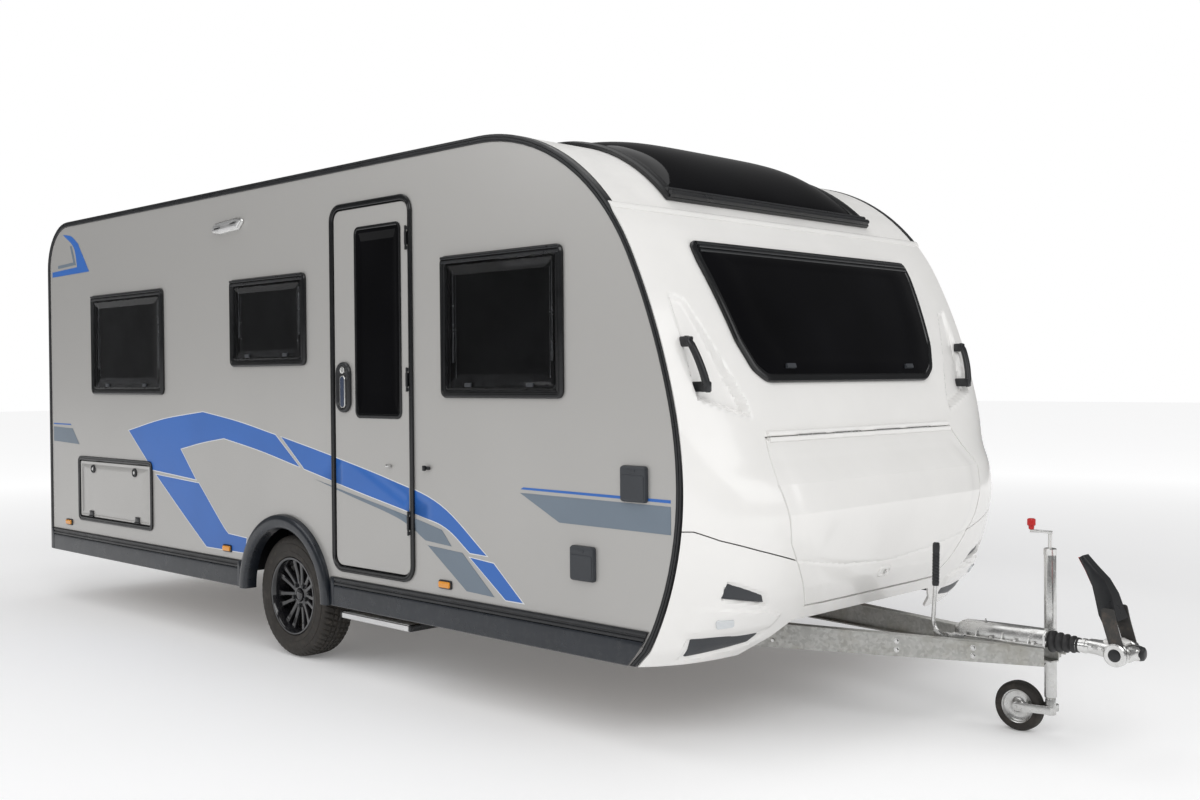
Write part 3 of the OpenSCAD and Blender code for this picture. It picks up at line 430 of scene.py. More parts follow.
def side_x(z):
    """Front edge of the side profile."""
    if z < CHIN_Z:
        return CHIN_X + (z - CHIN_Z)
    if z < BELT_Z:
        return CHIN_C[0] + CHIN_R * math.cos(math.asin((BELT_Z - z) / CHIN_R))
    if z < LOW_Z:
        return LOW_C[0] + LOW_R * math.cos(math.asin((z - BELT_Z) / LOW_R))
    if z < MID_Z:
        return MID_C[0] + MID_R * math.cos(math.asin((z - MID_C[1]) / MID_R))
    return ROOF_C[0] + ROOF_R * math.cos(math.asin(min(1, (z - ROOF_C[1]) / ROOF_R)))


def bulge(z, soft=0.030):
    """The nose's bulge at a height, eased a little over its creases."""
    return NOSE_BULGE * sum(between(BULGE, z + d * soft) for d in (-1, -0.5, 0, 0.5, 1)) / 5


def nose_x(y, z, soft=0.030):
    return side_x(z) - 0.002 + bulge(z, soft) * (1 - (abs(y) / HALF_W) ** 7)


def on_nose(y, z, h=0.0):
    """A point on the nose, h outside it."""
    d = 0.004
    across = (nose_x(y + d, z) - nose_x(y - d, z)) / (2 * d)
    up = (nose_x(y, z + d) - nose_x(y, z - d)) / (2 * d)
    return Vector((nose_x(y, z), y, z)) + Vector((1, -across, -up)).normalized() * h


def roof_point(a, y, h=0.0):
    return Vector((ROOF_C[0] + (ROOF_R + h) * math.cos(a), y,
                   ROOF_C[1] + (ROOF_R + h) * math.sin(a)))


# ---------------------------------------------------------------- finishes

def shader(name):
    mat = bpy.data.materials.new(name)
    mat.use_nodes = True
    nodes, links = mat.node_tree.nodes, mat.node_tree.links
    bsdf = nodes["Principled BSDF"]
    coords = nodes.new("ShaderNodeTexCoord")
    return mat, nodes, links, bsdf, coords.outputs["Object"]


def stretched(nodes, links, source, scale):
    mapping = nodes.new("ShaderNodeMapping")
    mapping.inputs["Scale"].default_value = scale
    links.new(source, mapping.inputs["Vector"])
    return mapping.outputs["Vector"]


def noise(nodes, links, source, scale, detail=3.0, rough=0.55):
    tex = nodes.new("ShaderNodeTexNoise")
    tex.inputs["Scale"].default_value = scale
    tex.inputs["Detail"].default_value = detail
    tex.inputs["Roughness"].default_value = rough
    links.new(source, tex.inputs["Vector"])
    return tex.outputs["Fac"]


def spread(nodes, links, value, a, b, low, high):
    """The value's range a to b spread over low to high."""
    node = nodes.new("ShaderNodeMapRange")
    for key, number in zip(("From Min", "From Max", "To Min", "To Max"), (a, b, low, high)):
        node.inputs[key].default_value = number
    links.new(value, node.inputs["Value"])
    return node.outputs["Result"]


def blend(nodes, links, factor, tone_a, tone_b):
    mix = nodes.new("ShaderNodeMix")
    mix.data_type = "RGBA"
    for key, tone in (("A", tone_a), ("B", tone_b)):
        socket = [s for s in mix.inputs if s.name == key and s.type == "RGBA"][0]
        if isinstance(tone, bpy.types.NodeSocket):
            links.new(tone, socket)
        else:
            socket.default_value = (*tone, 1)
    factor_in = [s for s in mix.inputs if s.name == "Factor" and s.type == "VALUE"][0]
    links.new(factor, factor_in)
    return [s for s in mix.outputs if s.type == "RGBA"][0]


def bumped(nodes, links, bsdf, height, strength, distance=0.001):
    bump = nodes.new("ShaderNodeBump")
    bump.inputs["Strength"].default_value = strength
    bump.inputs["Distance"].default_value = distance
    links.new(height, bump.inputs["Height"])
    links.new(bump.outputs["Normal"], bsdf.inputs["Normal"])


def tinted(tone, k):
    return tuple(min(1.0, c * k) for c in tone)


def finish(name, tone, rough, metal=0.0, coat=0.0, cloud=3.0, shade=0.90, wear=0.05,
           grain=300.0, bump=0.05, stretch=(1, 1, 1), dust=None):
    """A surface with large soft tone changes, uneven gloss and a fine grain."""
    mat, nodes, links, bsdf, coords = shader(name)
    bsdf.inputs["Metallic"].default_value = metal
    bsdf.inputs["Coat Weight"].default_value = coat
    bsdf.inputs["Coat Roughness"].default_value = 0.06
    soft = noise(nodes, links, coords, cloud, 4.0)
    grained = stretched(nodes, links, coords, stretch)
    fine = noise(nodes, links, grained, grain, 2.0)
    tone_out = blend(nodes, links, spread(nodes, links, soft, 0.35, 0.65, 0, 1),
                     tone, tinted(tone, shade))
    if dust:
        spots = noise(nodes, links, coords, cloud * 9, 6.0, 0.7)
        tone_out = blend(nodes, links, spread(nodes, links, spots, 0.50, 0.74, 0, 0.55),
                         tone_out, dust)
    links.new(tone_out, bsdf.inputs["Base Color"])
    patchy = noise(nodes, links, coords, cloud * 5, 5.0, 0.6)
    links.new(spread(nodes, links, patchy, 0.3, 0.7, max(0.02, rough - wear), rough + wear),
              bsdf.inputs["Roughness"])
    bumped(nodes, links, bsdf, fine, bump)
    return mat


def wall_paint(name, tone):
    """Metallic paint on smooth sheet: a fine flake and a faint waviness."""
    mat, nodes, links, bsdf, coords = shader(name)
    bsdf.inputs["Metallic"].default_value = 0.35
    bsdf.inputs["Coat Weight"].default_value = 0.35
    bsdf.inputs["Coat Roughness"].default_value = 0.18
    flake = noise(nodes, links, coords, 1800, 1.0)
    sheet = noise(nodes, links, coords, 0.9, 2.0)
    base = blend(nodes, links, spread(nodes, links, sheet, 0.3, 0.7, 0, 1),
                 tone, tinted(tone, 0.93))
    sparkle = blend(nodes, links, spread(nodes, links, flake, 0.35, 0.75, 0, 0.5),
                    base, tinted(tone, 1.25))
    links.new(sparkle, bsdf.inputs["Base Color"])
    links.new(spread(nodes, links, sheet, 0.3, 0.7, 0.34, 0.42), bsdf.inputs["Roughness"])
    bumped(nodes, links, bsdf, noise(nodes, links, coords, 4.5, 1.0), 0.02, 0.01)
    return mat


def galvanised(name, tone, rough=0.42):
    """Hot-dip zinc: crystal patches of changing tone, and dull, darker runs in random patches."""
    mat, nodes, links, bsdf, coords = shader(name)
    bsdf.inputs["Metallic"].default_value = 0.75
    crystals = nodes.new("ShaderNodeTexVoronoi")
    crystals.inputs["Scale"].default_value = 85
    warp = nodes.new("ShaderNodeVectorMath")
    warp.operation = "ADD"
    wobble = nodes.new("ShaderNodeTexNoise")
    wobble.inputs["Scale"].default_value = 25
    links.new(coords, wobble.inputs["Vector"])
    links.new(coords, warp.inputs[0])
    shrink = nodes.new("ShaderNodeVectorMath")
    shrink.operation = "SCALE"
    shrink.inputs["Scale"].default_value = 0.03
    links.new(wobble.outputs["Color"], shrink.inputs[0])
    links.new(shrink.outputs[0], warp.inputs[1])
    links.new(warp.outputs[0], crystals.inputs["Vector"])
    split = nodes.new("ShaderNodeSeparateColor")
    links.new(crystals.outputs["Color"], split.inputs[0])
    patch = split.outputs[0]
    runs = noise(nodes, links, coords, 9, 6.0, 0.65)
    mottled = blend(nodes, links, spread(nodes, links, patch, 0, 1, 0, 0.55),
                    tone, tinted(tone, 0.72))
    stained = blend(nodes, links, spread(nodes, links, runs, 0.48, 0.72, 0, 0.6),
                    mottled, (tone[0] * 0.62, tone[1] * 0.58, tone[2] * 0.50))
    links.new(stained, bsdf.inputs["Base Color"])
    links.new(spread(nodes, links, patch, 0, 1, rough - 0.1, rough + 0.12),
              bsdf.inputs["Roughness"])
    bumped(nodes, links, bsdf, noise(nodes, links, coords, 140, 3.0), 0.12)
    return mat


def glossy_pane(name, tone):
    """Dark acrylic: a clear gloss with a barely wavy surface and a faint smoky tone."""
    mat, nodes, links, bsdf, coords = shader(name)
    bsdf.inputs["Specular IOR Level"].default_value = 0.07
    smoke = noise(nodes, links, coords, 1.6, 2.0)
    links.new(blend(nodes, links, spread(nodes, links, smoke, 0.35, 0.7, 0, 1),
                    tone, tinted(tone, 1.9)), bsdf.inputs["Base Color"])
    haze = noise(nodes, links, coords, 40, 4.0)
    links.new(spread(nodes, links, haze, 0.3, 0.8, 0.03, 0.075), bsdf.inputs["Roughness"])
    bumped(nodes, links, bsdf, noise(nodes, links, coords, 2.2, 1.0), 0.02, 0.02)
    return mat


def see_through(name, tone):
    """Tinted acrylic that shows what lies behind it."""
    mat, nodes, links, bsdf, coords = shader(name)
    bsdf.inputs["Transmission Weight"].default_value = 1.0
    bsdf.inputs["IOR"].default_value = 1.25
    bsdf.inputs["Specular IOR Level"].default_value = 0.2
    smoke = noise(nodes, links, coords, 2.5, 3.0)
    links.new(blend(nodes, links, spread(nodes, links, smoke, 0.35, 0.7, 0, 1),
                    tone, tinted(tone, 0.75)), bsdf.inputs["Base Color"])
    links.new(spread(nodes, links, noise(nodes, links, coords, 60, 3.0), 0.3, 0.8, 0.01, 0.05),
              bsdf.inputs["Roughness"])
    bumped(nodes, links, bsdf, noise(nodes, links, coords, 3.0, 1.0), 0.015, 0.02)
    return mat


def lamp_lens(name, tone):
    """Moulded lamp lens with fine ribs under a glossy face."""
    mat, nodes, links, bsdf, coords = shader(name)
    bsdf.inputs["Coat Weight"].default_value = 0.6
    bsdf.inputs["Coat Roughness"].default_value = 0.03
    wave = nodes.new("ShaderNodeTexWave")
    wave.inputs["Scale"].default_value = 60
    wave.bands_direction = "Z"
    links.new(coords, wave.inputs["Vector"])
    ribs = wave.outputs["Fac"]
    links.new(blend(nodes, links, ribs, tone, tinted(tone, 0.72)), bsdf.inputs["Base Color"])
    links.new(spread(nodes, links, ribs, 0, 1, 0.10, 0.22), bsdf.inputs["Roughness"])
    bumped(nodes, links, bsdf, ribs, 0.25)
    return mat


def spruce_ply(name):
    """Coated plywood of the floor, with a faint grain."""
    return finish(name, (0.20, 0.15, 0.11), 0.6, grain=60, bump=0.15, stretch=(0.3, 6, 1),
                  shade=0.7)


MATS = {}


def make_finishes(c):
    MATS.update(
        wall=wall_paint("Wall paint", c.wall),
        white=finish("White moulding", c.white, 0.22, coat=0.35, shade=0.97, wear=0.03,
                     grain=90, bump=0.02),
        roof=finish("Roof sheet", tinted(c.white, 0.97), 0.35, shade=0.94, grain=30, bump=0.03),
        black=finish("Black plastic", c.black, 0.33, shade=0.7, grain=900, bump=0.10,
                     dust=(0.022, 0.022, 0.024), wear=0.08),
        gloss_black=finish("Black gloss frame", tinted(c.black, 0.5), 0.20, shade=0.7, grain=200,
                           bump=0.03, wear=0.04),
        skirt=finish("Skirt paint", c.skirt, 0.30, metal=0.2, coat=0.3, shade=0.75,
                     grain=500, bump=0.03, dust=(0.034, 0.037, 0.041)),
        grey=finish("Grey plastic", c.grey, 0.45, shade=0.8, grain=1100, bump=0.2),
        blue=finish("Blue vinyl", c.blue, 0.34, shade=0.92, grain=400, bump=0.01, wear=0.01),
        slate=finish("Grey vinyl", c.slate, 0.34, shade=0.93, grain=400, bump=0.01, wear=0.01),
        outline=finish("White vinyl", (0.72, 0.73, 0.73), 0.30, shade=0.95, grain=60, bump=0.02),
        pane=glossy_pane("Tinted pane", c.glass),
        clear=see_through("Clear tint", (0.45, 0.46, 0.48)),
        # dark: near-black sheet behind each window pane, painted shade standing in for the shaded
        # inside of the caravan
        dark=finish("Dark blind", (0.004, 0.004, 0.0045), 0.7, shade=0.6, grain=400, bump=0.1),
        zinc=galvanised("Galvanised steel", c.zinc),
        bright=finish("Plated steel", c.bright, 0.24, metal=0.95, shade=0.85, grain=700,
                      bump=0.04, wear=0.08, dust=(0.40, 0.39, 0.37)),
        brushed=finish("Brushed aluminium", (0.74, 0.74, 0.74), 0.32, metal=0.85, shade=0.92,
                       grain=90, bump=0.08, stretch=(1, 40, 40)),
        cast=finish("Cast iron", (0.06, 0.058, 0.055), 0.6, metal=0.3, shade=0.6, grain=260,
                    bump=0.5, dust=(0.16, 0.12, 0.09)),
        rim=finish("Gloss black wheel", c.rim, 0.14, coat=0.6, shade=0.7, grain=150, bump=0.02,
                   dust=(0.045, 0.042, 0.04), wear=0.06),
        rubber=finish("Tyre rubber", c.rubber, 0.72, shade=0.75, grain=420, bump=0.35,
                      dust=(0.075, 0.062, 0.050), wear=0.08),
        soft_black=finish("Rubber bellows", (0.014, 0.014, 0.015), 0.55, shade=0.7, grain=350,
                          bump=0.2, dust=(0.04, 0.04, 0.04)),
        amber=lamp_lens("Amber lens", c.amber),
        red=lamp_lens("Red lens", c.red),
        knob=finish("Red plastic", c.red, 0.35, shade=0.8, grain=300, bump=0.1),
        lens=lamp_lens("Clear lens", (0.75, 0.78, 0.80)),
        lever_blue=finish("Dark blue plastic", (0.02, 0.035, 0.075), 0.25, coat=0.3, shade=0.8,
                          grain=300, bump=0.05),
        ply=spruce_ply("Coated plywood"),
        locker=finish("Locker lining", (0.42, 0.42, 0.41), 0.5, shade=0.85, grain=180, bump=0.1),
    )


def settings():
    return bpy.context.scene.caravan_sizes


class CARAVAN_OT_finishes(bpy.types.Operator):
    """Make the finishes and dress the panels and steel that keep their own shape"""
    bl_idname = "caravan.finishes"
    bl_label = "Finishes and plain panels"

    def execute(self, context):
        make_finishes(context.scene.caravan_colours)
        dress("wall", "side_wall_right", "side_wall_left")
        dress("roof", "roof_panel", "rear_wall")
        dress("ply", "floor_panel")
        dress("locker", "locker_box")
        dress("black", "wheel_boxes")
        dress("zinc", "chassis_rails", "cross_members", "drawbar_right", "drawbar_left",
              "axle", "corner_steadies_rear_right", "corner_steadies_rear_left",
              "corner_steadies_front_right", "corner_steadies_front_left", "jockey_leg")
        dress("cast", "hub_right", "hub_left")
        return {"FINISHED"}


# ---------------------------------------------------------------- front

LID_TOP, LID_LOW = 1.196, 0.512
LID_GAP = 0.0055
LID_SIDE = [(LID_LOW, 0.500), (0.60, 0.576), (0.789, 0.722), (BELT_Z, 0.778), (LID_TOP, 0.716)]
GLASS_LOW, GLASS_TOP = 1.434, 1.958
GLASS_SIDE = [(GLASS_LOW, 0.600), (1.47, 0.672), (1.575, 0.723), (1.90, 0.787), (GLASS_TOP, 0.787)]


def lid_side(z, grow=0.0):
    return between(LID_SIDE, z) + grow


SEAM_TABLE = [(0, 0.649), (0.324, 0.671), (0.66, 0.718), (0.885, 0.779), (1.043, 0.827),
              (1.12, 0.862)]
HANDLE_HOLLOW = [(1.054, 1.765), (0.966, 1.742), (0.775, 1.338), (0.768, 1.272), (1.045, 1.351)]
UPPER_POCKET = [(0.995, 0.676), (0.800, 0.606), (0.745, 0.541), (1.004, 0.588)]
LOWER_POCKET = [(1.065, 0.452), (0.680, 0.432), (0.730, 0.372), (1.040, 0.344)]
LAMP_FIN = [(1.085, 0.578), (0.745, 0.534), (0.640, 0.500), (0.670, 0.437), (1.085, 0.455)]


def seam_z(y):
    """Height of the joint between the upper moulding and the bumper."""
    return between(SEAM_TABLE, abs(y))


def within(y, z, outline, slope):
    """1 inside an outline of (y, z) pairs, falling to 0 at its edge over a slope's width."""
    y = abs(y)
    least = 1.0
    for (y0, z0), (y1, z1) in zip(outline, outline[1:] + outline[:1]):
        run = math.hypot(y1 - y0, z1 - z0)
        inside = ((y1 - y0) * (z - z0) - (z1 - z0) * (y - y0)) / run
        least = min(least, inside / slope)
    least = max(0.0, least)
    return least * least * (3 - 2 * least)


def cheek_scoop(y, z):
    """Depth of the hollow behind each front grab handle, deepest at its foot."""
    deep = 0.012 + 0.024 * max(0.0, min(1.0, (1.74 - z) / 0.34))
    return deep * within(y, z, HANDLE_HOLLOW, 0.022)


def bumper_relief(y, z):
    """Pockets for the dark inserts, and the fin with the lamp between them."""
    return (0.013 * within(y, z, LAMP_FIN, 0.018) - 0.026 * within(y, z, UPPER_POCKET, 0.020)
            - 0.016 * within(y, z, LOWER_POCKET, 0.014))


def nose_point(y, z, soft=0.030):
    return Vector((nose_x(y, z, soft) - cheek_scoop(y, z), y, z))


def drop_faces(obj, doomed):
    """Delete the faces whose middle the test picks out."""
    only(obj)
    bpy.ops.object.mode_set(mode="EDIT")
    bpy.ops.mesh.select_all(action="DESELECT")
    mesh = bmesh.from_edit_mesh(obj.data)
    for face in mesh.faces:
        face.select_set(doomed(face.calc_center_median()))
    bmesh.update_edit_mesh(obj.data)
    bpy.ops.mesh.delete(type="FACE")
    bpy.ops.object.mode_set(mode="OBJECT")


def facing_forward(obj):
    """Turn an open moulding's faces to the front."""
    only(obj)
    obj.data.update()
    turn = sum(p.normal.x * p.area for p in obj.data.polygons) < 0
    if turn:
        edit_all(lambda: bpy.ops.mesh.flip_normals())


def moulded(name, rows, hole, thick, angle=24):
    """An open sheet over the rows, without the faces in the hole, given its thickness."""
    nx, ny = len(rows[0]), len(rows)
    bpy.ops.mesh.primitive_grid_add(x_subdivisions=nx - 1, y_subdivisions=ny - 1)
    obj = bpy.context.object
    obj.data.vertices.foreach_set("co", [c for row in rows for p in row for c in p])
    obj.data.update()
    drop_faces(obj, hole)
    facing_forward(obj)
    modifier(obj, "SOLIDIFY", thickness=thick, offset=-1.0, use_rim=True)
    return settle(obj, name, angle)


def settled_row(columns, inner_of, height_of):
    """Points across the nose, where a row's height and its columns depend on each other."""
    row = []
    for part, share in columns:
        z = height_of(0.8)
        y = 0.0
        for _ in range(12):
            inner = inner_of(z)
            y = share * inner if part == "mid" else inner + (NOSE_W - inner) * abs(share)
            z = height_of(y)
        row.append((math.copysign(y, share), z))
    return row


def columns_across(n_mid, n_side):
    """Column marks from right to left: shares of the side parts and of the middle part."""
    side = [k / n_side for k in range(n_side + 1)]
    mid = [-1 + 2 * k / n_mid for k in range(1, n_mid)]
    return ([("side", -v if v else -1e-9) for v in reversed(side)] + [("mid",
                                                                       v or 1e-9) for v in mid]
            + [("side", v or 1e-9) for v in side])


def steps_between(a, b, step):
    n = max(1, round((b - a) / step))
    return [a + (b - a) * k / n for k in range(n)]


def front_panel_piece(thick):
    lid_edge = LID_TOP + LID_GAP
    heights = (steps_between(BELT_Z, lid_edge, 0.03) + steps_between(lid_edge, 1.25, 0.02)
               + steps_between(1.25, GLASS_LOW, 0.011) + steps_between(GLASS_LOW, 1.80, 0.011)
               + steps_between(1.80, GLASS_TOP, 0.04) + steps_between(GLASS_TOP, SEAM_Z, 0.025)
               + [SEAM_Z])

    def inner(z):
        if z <= lid_edge:
            return lid_side(min(z, LID_TOP), LID_GAP)
        if z >= GLASS_LOW:
            return between(GLASS_SIDE, min(z, GLASS_TOP))
        k = (z - lid_edge) / (GLASS_LOW - lid_edge)
        return lid_side(LID_TOP, LID_GAP) * (1 - k) + GLASS_SIDE[0][1] * k

    columns = columns_across(36, 44)
    rows = []
    for t in (0, 0.08, 0.2, 0.34, 0.5, 0.66, 0.8, 0.92):
        marks = settled_row(columns, inner,
                            lambda y: (seam_z(y) + 0.002) * (1 - t) + BELT_Z * t)
        rows.append([nose_point(y, z) for y, z in marks])
    for z in heights:
        row = []
        for y, _ in settled_row(columns, inner, lambda y: z):
            p = nose_point(y, z)
            if z == SEAM_Z:
                p = roof_point(SEAM_A, y) + Vector((nose_x(y, z) - side_x(z) + 0.002, 0, 0))
            row.append(p)
        rows.append(row)

    def hole(c):
        in_lid = c.z < lid_edge and abs(c.y) < lid_side(min(c.z, LID_TOP), 0.002)
        in_glass = (GLASS_LOW < c.z < GLASS_TOP and abs(c.y) < between(GLASS_SIDE, c.z))
        return in_lid or in_glass
    return moulded("front_moulding", rows, hole, thick)


def chin_low(y):
    return between([(0, 0.452), (0.535, 0.452), (0.72, SKIRT_Z), (2, SKIRT_Z)], abs(y))


def bumper_piece(thick):
    low_edge = LID_LOW - LID_GAP
    split = 0.35

    def height(y, t):
        if t <= split:
            return chin_low(y) + (low_edge - chin_low(y)) * t / split
        return low_edge + (seam_z(y) - 0.003 - low_edge) * (t - split) / (1 - split)

    rows = []
    for t in steps_between(0, split, split / 15) + steps_between(split, 1, 0.0232) + [1.0]:
        marks = settled_row(columns_across(36, 44),
                            lambda z: lid_side(max(z, LID_LOW), LID_GAP), lambda y: height(y, t))
        rows.append([nose_point(y, z) + Vector((bumper_relief(y, z), 0, 0)) for y, z in marks])

    def hole(c):
        return c.z > low_edge + 0.0001 and abs(c.y) < lid_side(max(c.z, LID_LOW), 0.002)
    return moulded("front_bumper_moulding", rows, hole, thick)


def lid_relief(y, z):
    """The lid's raised middle, which ends in a soft crease along its sides and top."""
    side = (lid_side(z) - 0.060 - abs(y)) / 0.05
    top = (LID_TOP - 0.045 - z) / 0.03
    return 0.005 * max(0.0, min(1.0, side)) * max(0.0, min(1.0, top))


def lid_piece(thick):
    heights = (steps_between(LID_LOW, 0.76, 0.006) + steps_between(0.76, BELT_Z, 0.03)
               + steps_between(BELT_Z, LID_TOP, 0.012) + [LID_TOP])
    edge_cols = [-1, -0.995, -0.98, -0.95, -0.92, -0.89, -0.86]
    middle = [-0.8 + 1.6 * k / 24 for k in range(25)]
    cols = edge_cols + middle + [-c for c in reversed(edge_cols)]
    rows = []
    for z in heights:
        row = []
        for s in cols:
            y = s * lid_side(z)
            lip = 0.009 * (abs(s) >= 0.999 or z in (LID_LOW, LID_TOP))
            groove = 0.004 * max(0.0, 1 - abs(z - seam_z(y)) / 0.008)
            row.append(nose_point(y, z, 0.004) + Vector((lid_relief(y, z) - lip - groove, 0, 0)))
        rows.append(row)
    return moulded("locker_lid_moulding", rows, lambda c: False, thick, 13)


def nose_patch(name, outline, height, depth, bevel=0.002):
    """A plate with an outline of (y, z) pairs that follows the nose."""
    points = along_edges(outline, 0.02)
    rows = []
    mid = sum((Vector(p) for p in points), Vector((0, 0))) / len(points)
    for k in (1.0, 0.985, 0.93, 0.85, 0.7, 0.5, 0.3, 0.12):
        h = height - (bevel if k == 1.0 else 0.0)
        rows.append([on_nose(*(mid + (p - mid) * k), h) for p in map(Vector, points)])
    base = [on_nose(p[0], p[1], height - depth) for p in points]
    rows = [collapse(base), base] + rows
    rows.append(collapse(rows[-1]))
    return surface(name, rows, True, angle=35)


def both_ways(half):
    """The (u, v) pairs and the same ones mirrored in u, in one line."""
    return half + [(-u, v) for u, v in reversed(half)]


def flip(points):
    return [(-u, v) for u, v in reversed(points)]


class CARAVAN_OT_front(bpy.types.Operator):
    """Model the front: upper moulding, bumper with its inserts and lamps, and the locker lid"""
    bl_idname = "caravan.front"
    bl_label = "Front mouldings"

    def execute(self, context):
        skin = settings().skin
        give(front_panel_piece(skin), "white", "abs_white", "front_panel")
        give(bumper_piece(skin), "white", "abs_white", "front_bumper")
        give(lid_piece(skin), "white", "abs_white", "locker_lid", body="locker_lid")

        hinge_z = LID_TOP + 0.003
        hinge_x = nose_x(0, LID_TOP, 0.0) + 0.010
        rails = []
        for k, z in enumerate((hinge_z + 0.012, hinge_z - 0.011)):
            rows = []
            for i in range(41):
                y = -0.705 + 1.41 * i / 40
                x = nose_x(y, z) + 0.001
                rows.append([Vector((x + dx, y, z + dz)) for dx, dz in
                             ((-0.01, -0.010), (0.006, -0.010), (0.009, -0.006), (0.009, 0.006),
                              (0.006, 0.010), (-0.01, 0.010))])
            rails.append(capped("locker_rail_%d" % k, rows))
        give(rails[0], "white", "abs_white")
        give(rails[1], "white", "abs_white", body="locker_lid")
        pins = [rod("pin", (hinge_x, s * y0, hinge_z), (hinge_x, s * (y0 + 0.2), hinge_z), 0.005)
                for s in (-1, 1) for y0 in (0.06, 0.32)]
        give(join("locker_hinges", pins), "bright", "zinc_steel", body="locker_lid")

        latch_z = 0.605
        base = pane("latch", rect(-0.045, latch_z - 0.022, 0.045, latch_z + 0.022), 0.016,
                    [(0, -0.004), (0, 0.008), (0.004, 0.012), (0.010, 0.012), (0.012, 0.009)],
                    on_nose)
        keyhole = turned("latch_lock", on_nose(0, latch_z, 0.008),
                         on_nose(0, latch_z, 1) - on_nose(0, latch_z),
                         [(0, 0.010), (0.008, 0.010), (0.009, 0.009), (0.009, 0.004),
                          (0.006, 0.003)])
        give(base, "white", "abs_white", body="locker_lid")
        give(keyhole, "bright", "zinc_steel", body="locker_lid")

        upper = [(-0.990, 0.668), (-0.806, 0.604), (-0.765, 0.554), (-0.998, 0.596)]
        lower = [(-1.045, 0.444), (-0.705, 0.424), (-0.745, 0.385), (-1.020, 0.354)]
        inserts = []
        for outline, height in ((upper, -0.014), (lower, -0.008)):
            for shape in (outline[::-1], flip(outline[::-1])):
                inserts.append(nose_patch("insert", rounded(shape, 0.008, 3), height, 0.014))
        give(join("bumper_inserts", inserts), "grey", "trim_black")
        for side, s in (("right", -1), ("left", 1)):
            lamp = rounded([(s * 0.995, 0.520), (s * 0.921, 0.517), (s * 0.905, 0.488),
                            (s * 0.976, 0.486)][::s], 0.006, 3)
            give(nose_patch("position_lamp_" + side, lamp, 0.0165, 0.012), "lens", "abs_white")
        strip = []
        for i in range(61):
            y = -NOSE_W + 2 * NOSE_W * i / 60
            ring = []
            for a, h in ((-0.4, -0.003), (-0.4, 0.003), (0.2, 0.0075), (1.0, 0.0075),
                         (1.5, 0.003), (1.5, -0.003)):
                p = roof_point(SEAM_A + math.radians(a), y, h)
                ring.append(p + Vector((bulge(SEAM_Z) * (1 - (abs(y) / HALF_W) ** 7), 0, 0)))
            strip.append(ring)
        give(capped("roof_joint_strip", strip), "white", "abs_white")
        return {"FINISHED"}


# ---------------------------------------------------------------- windows

PANORAMA_Y = 0.758
PANORAMA_A0, PANORAMA_A1 = math.radians(43.5), math.radians(94)


def on_roof(u, v, h=0.0):
    """u runs back along the roof's arc from the roof window's lower edge, v to the left."""
    return roof_point(PANORAMA_A0 + u / ROOF_R, v, h)


class CARAVAN_OT_roof_window(bpy.types.Operator):
    """Model the bulging roof window over the front and its frame"""
    bl_idname = "caravan.roof_window"
    bl_label = "Roof window"

    def execute(self, context):
        long = (PANORAMA_A1 - PANORAMA_A0) * ROOF_R
        rows = []
        n = 40
        for i in range(n + 1):
            t = i / n
            rise = 0.012 + 0.056 * math.sin(math.pi * min(1, t * 1.02)) ** 0.7 if t < 0.98 \
                else 0.012
            row = []
            for k in range(41):
                s = -1 + 2 * k / 40
                dome = (1 - abs(s) ** 5) ** 0.8 if abs(s) < 1 else 0.0
                row.append(on_roof(0.05 + (long - 0.08) * t, s * (PANORAMA_Y - 0.045 - 0.05 * t),
                                   0.010 + (rise - 0.010) * dome))
            rows.append(row)
        dome = surface("roof_window_dome", rows, thick=0.008, angle=40)
        give(dome, "pane", "acrylic_dark", "panorama_window")
        outline = along_edges([(0, -PANORAMA_Y), (long, -PANORAMA_Y + 0.05),
                               (long, PANORAMA_Y - 0.05), (0, PANORAMA_Y)], 0.05)
        profile = [(0, 0.001), (0, 0.016), (0.008, 0.024), (0.030, 0.024), (0.034, 0.018),
                   (0.040, 0.018), (0.044, 0.024), (0.062, 0.020), (0.066, 0.001)]
        rows = [[on_roof(u, v, h) for u, v in inset(outline, d)] for d, h in profile]
        give(surface("roof_window_frame", rows, True, True), "gloss_black", "acrylic_dark")
        rail = []
        for lift, u0 in ((0.030, 0.004), (0.026, 0.030)):
            ring = []
            for i in range(49):
                y = (-1 + 2 * i / 48) * (PANORAMA_Y - 0.012)
                ring.append([on_roof(u0 + du, y, lift + dh) for du, dh in
                             ((-0.002, -0.012), (-0.002, 0.004), (0.004, 0.010), (0.014, 0.010),
                              (0.019, 0.004), (0.019, -0.012))])
            rail.append(capped("rail", ring))
        give(join("roof_window_rail", rail), "black", "acrylic_dark")
        return {"FINISHED"}


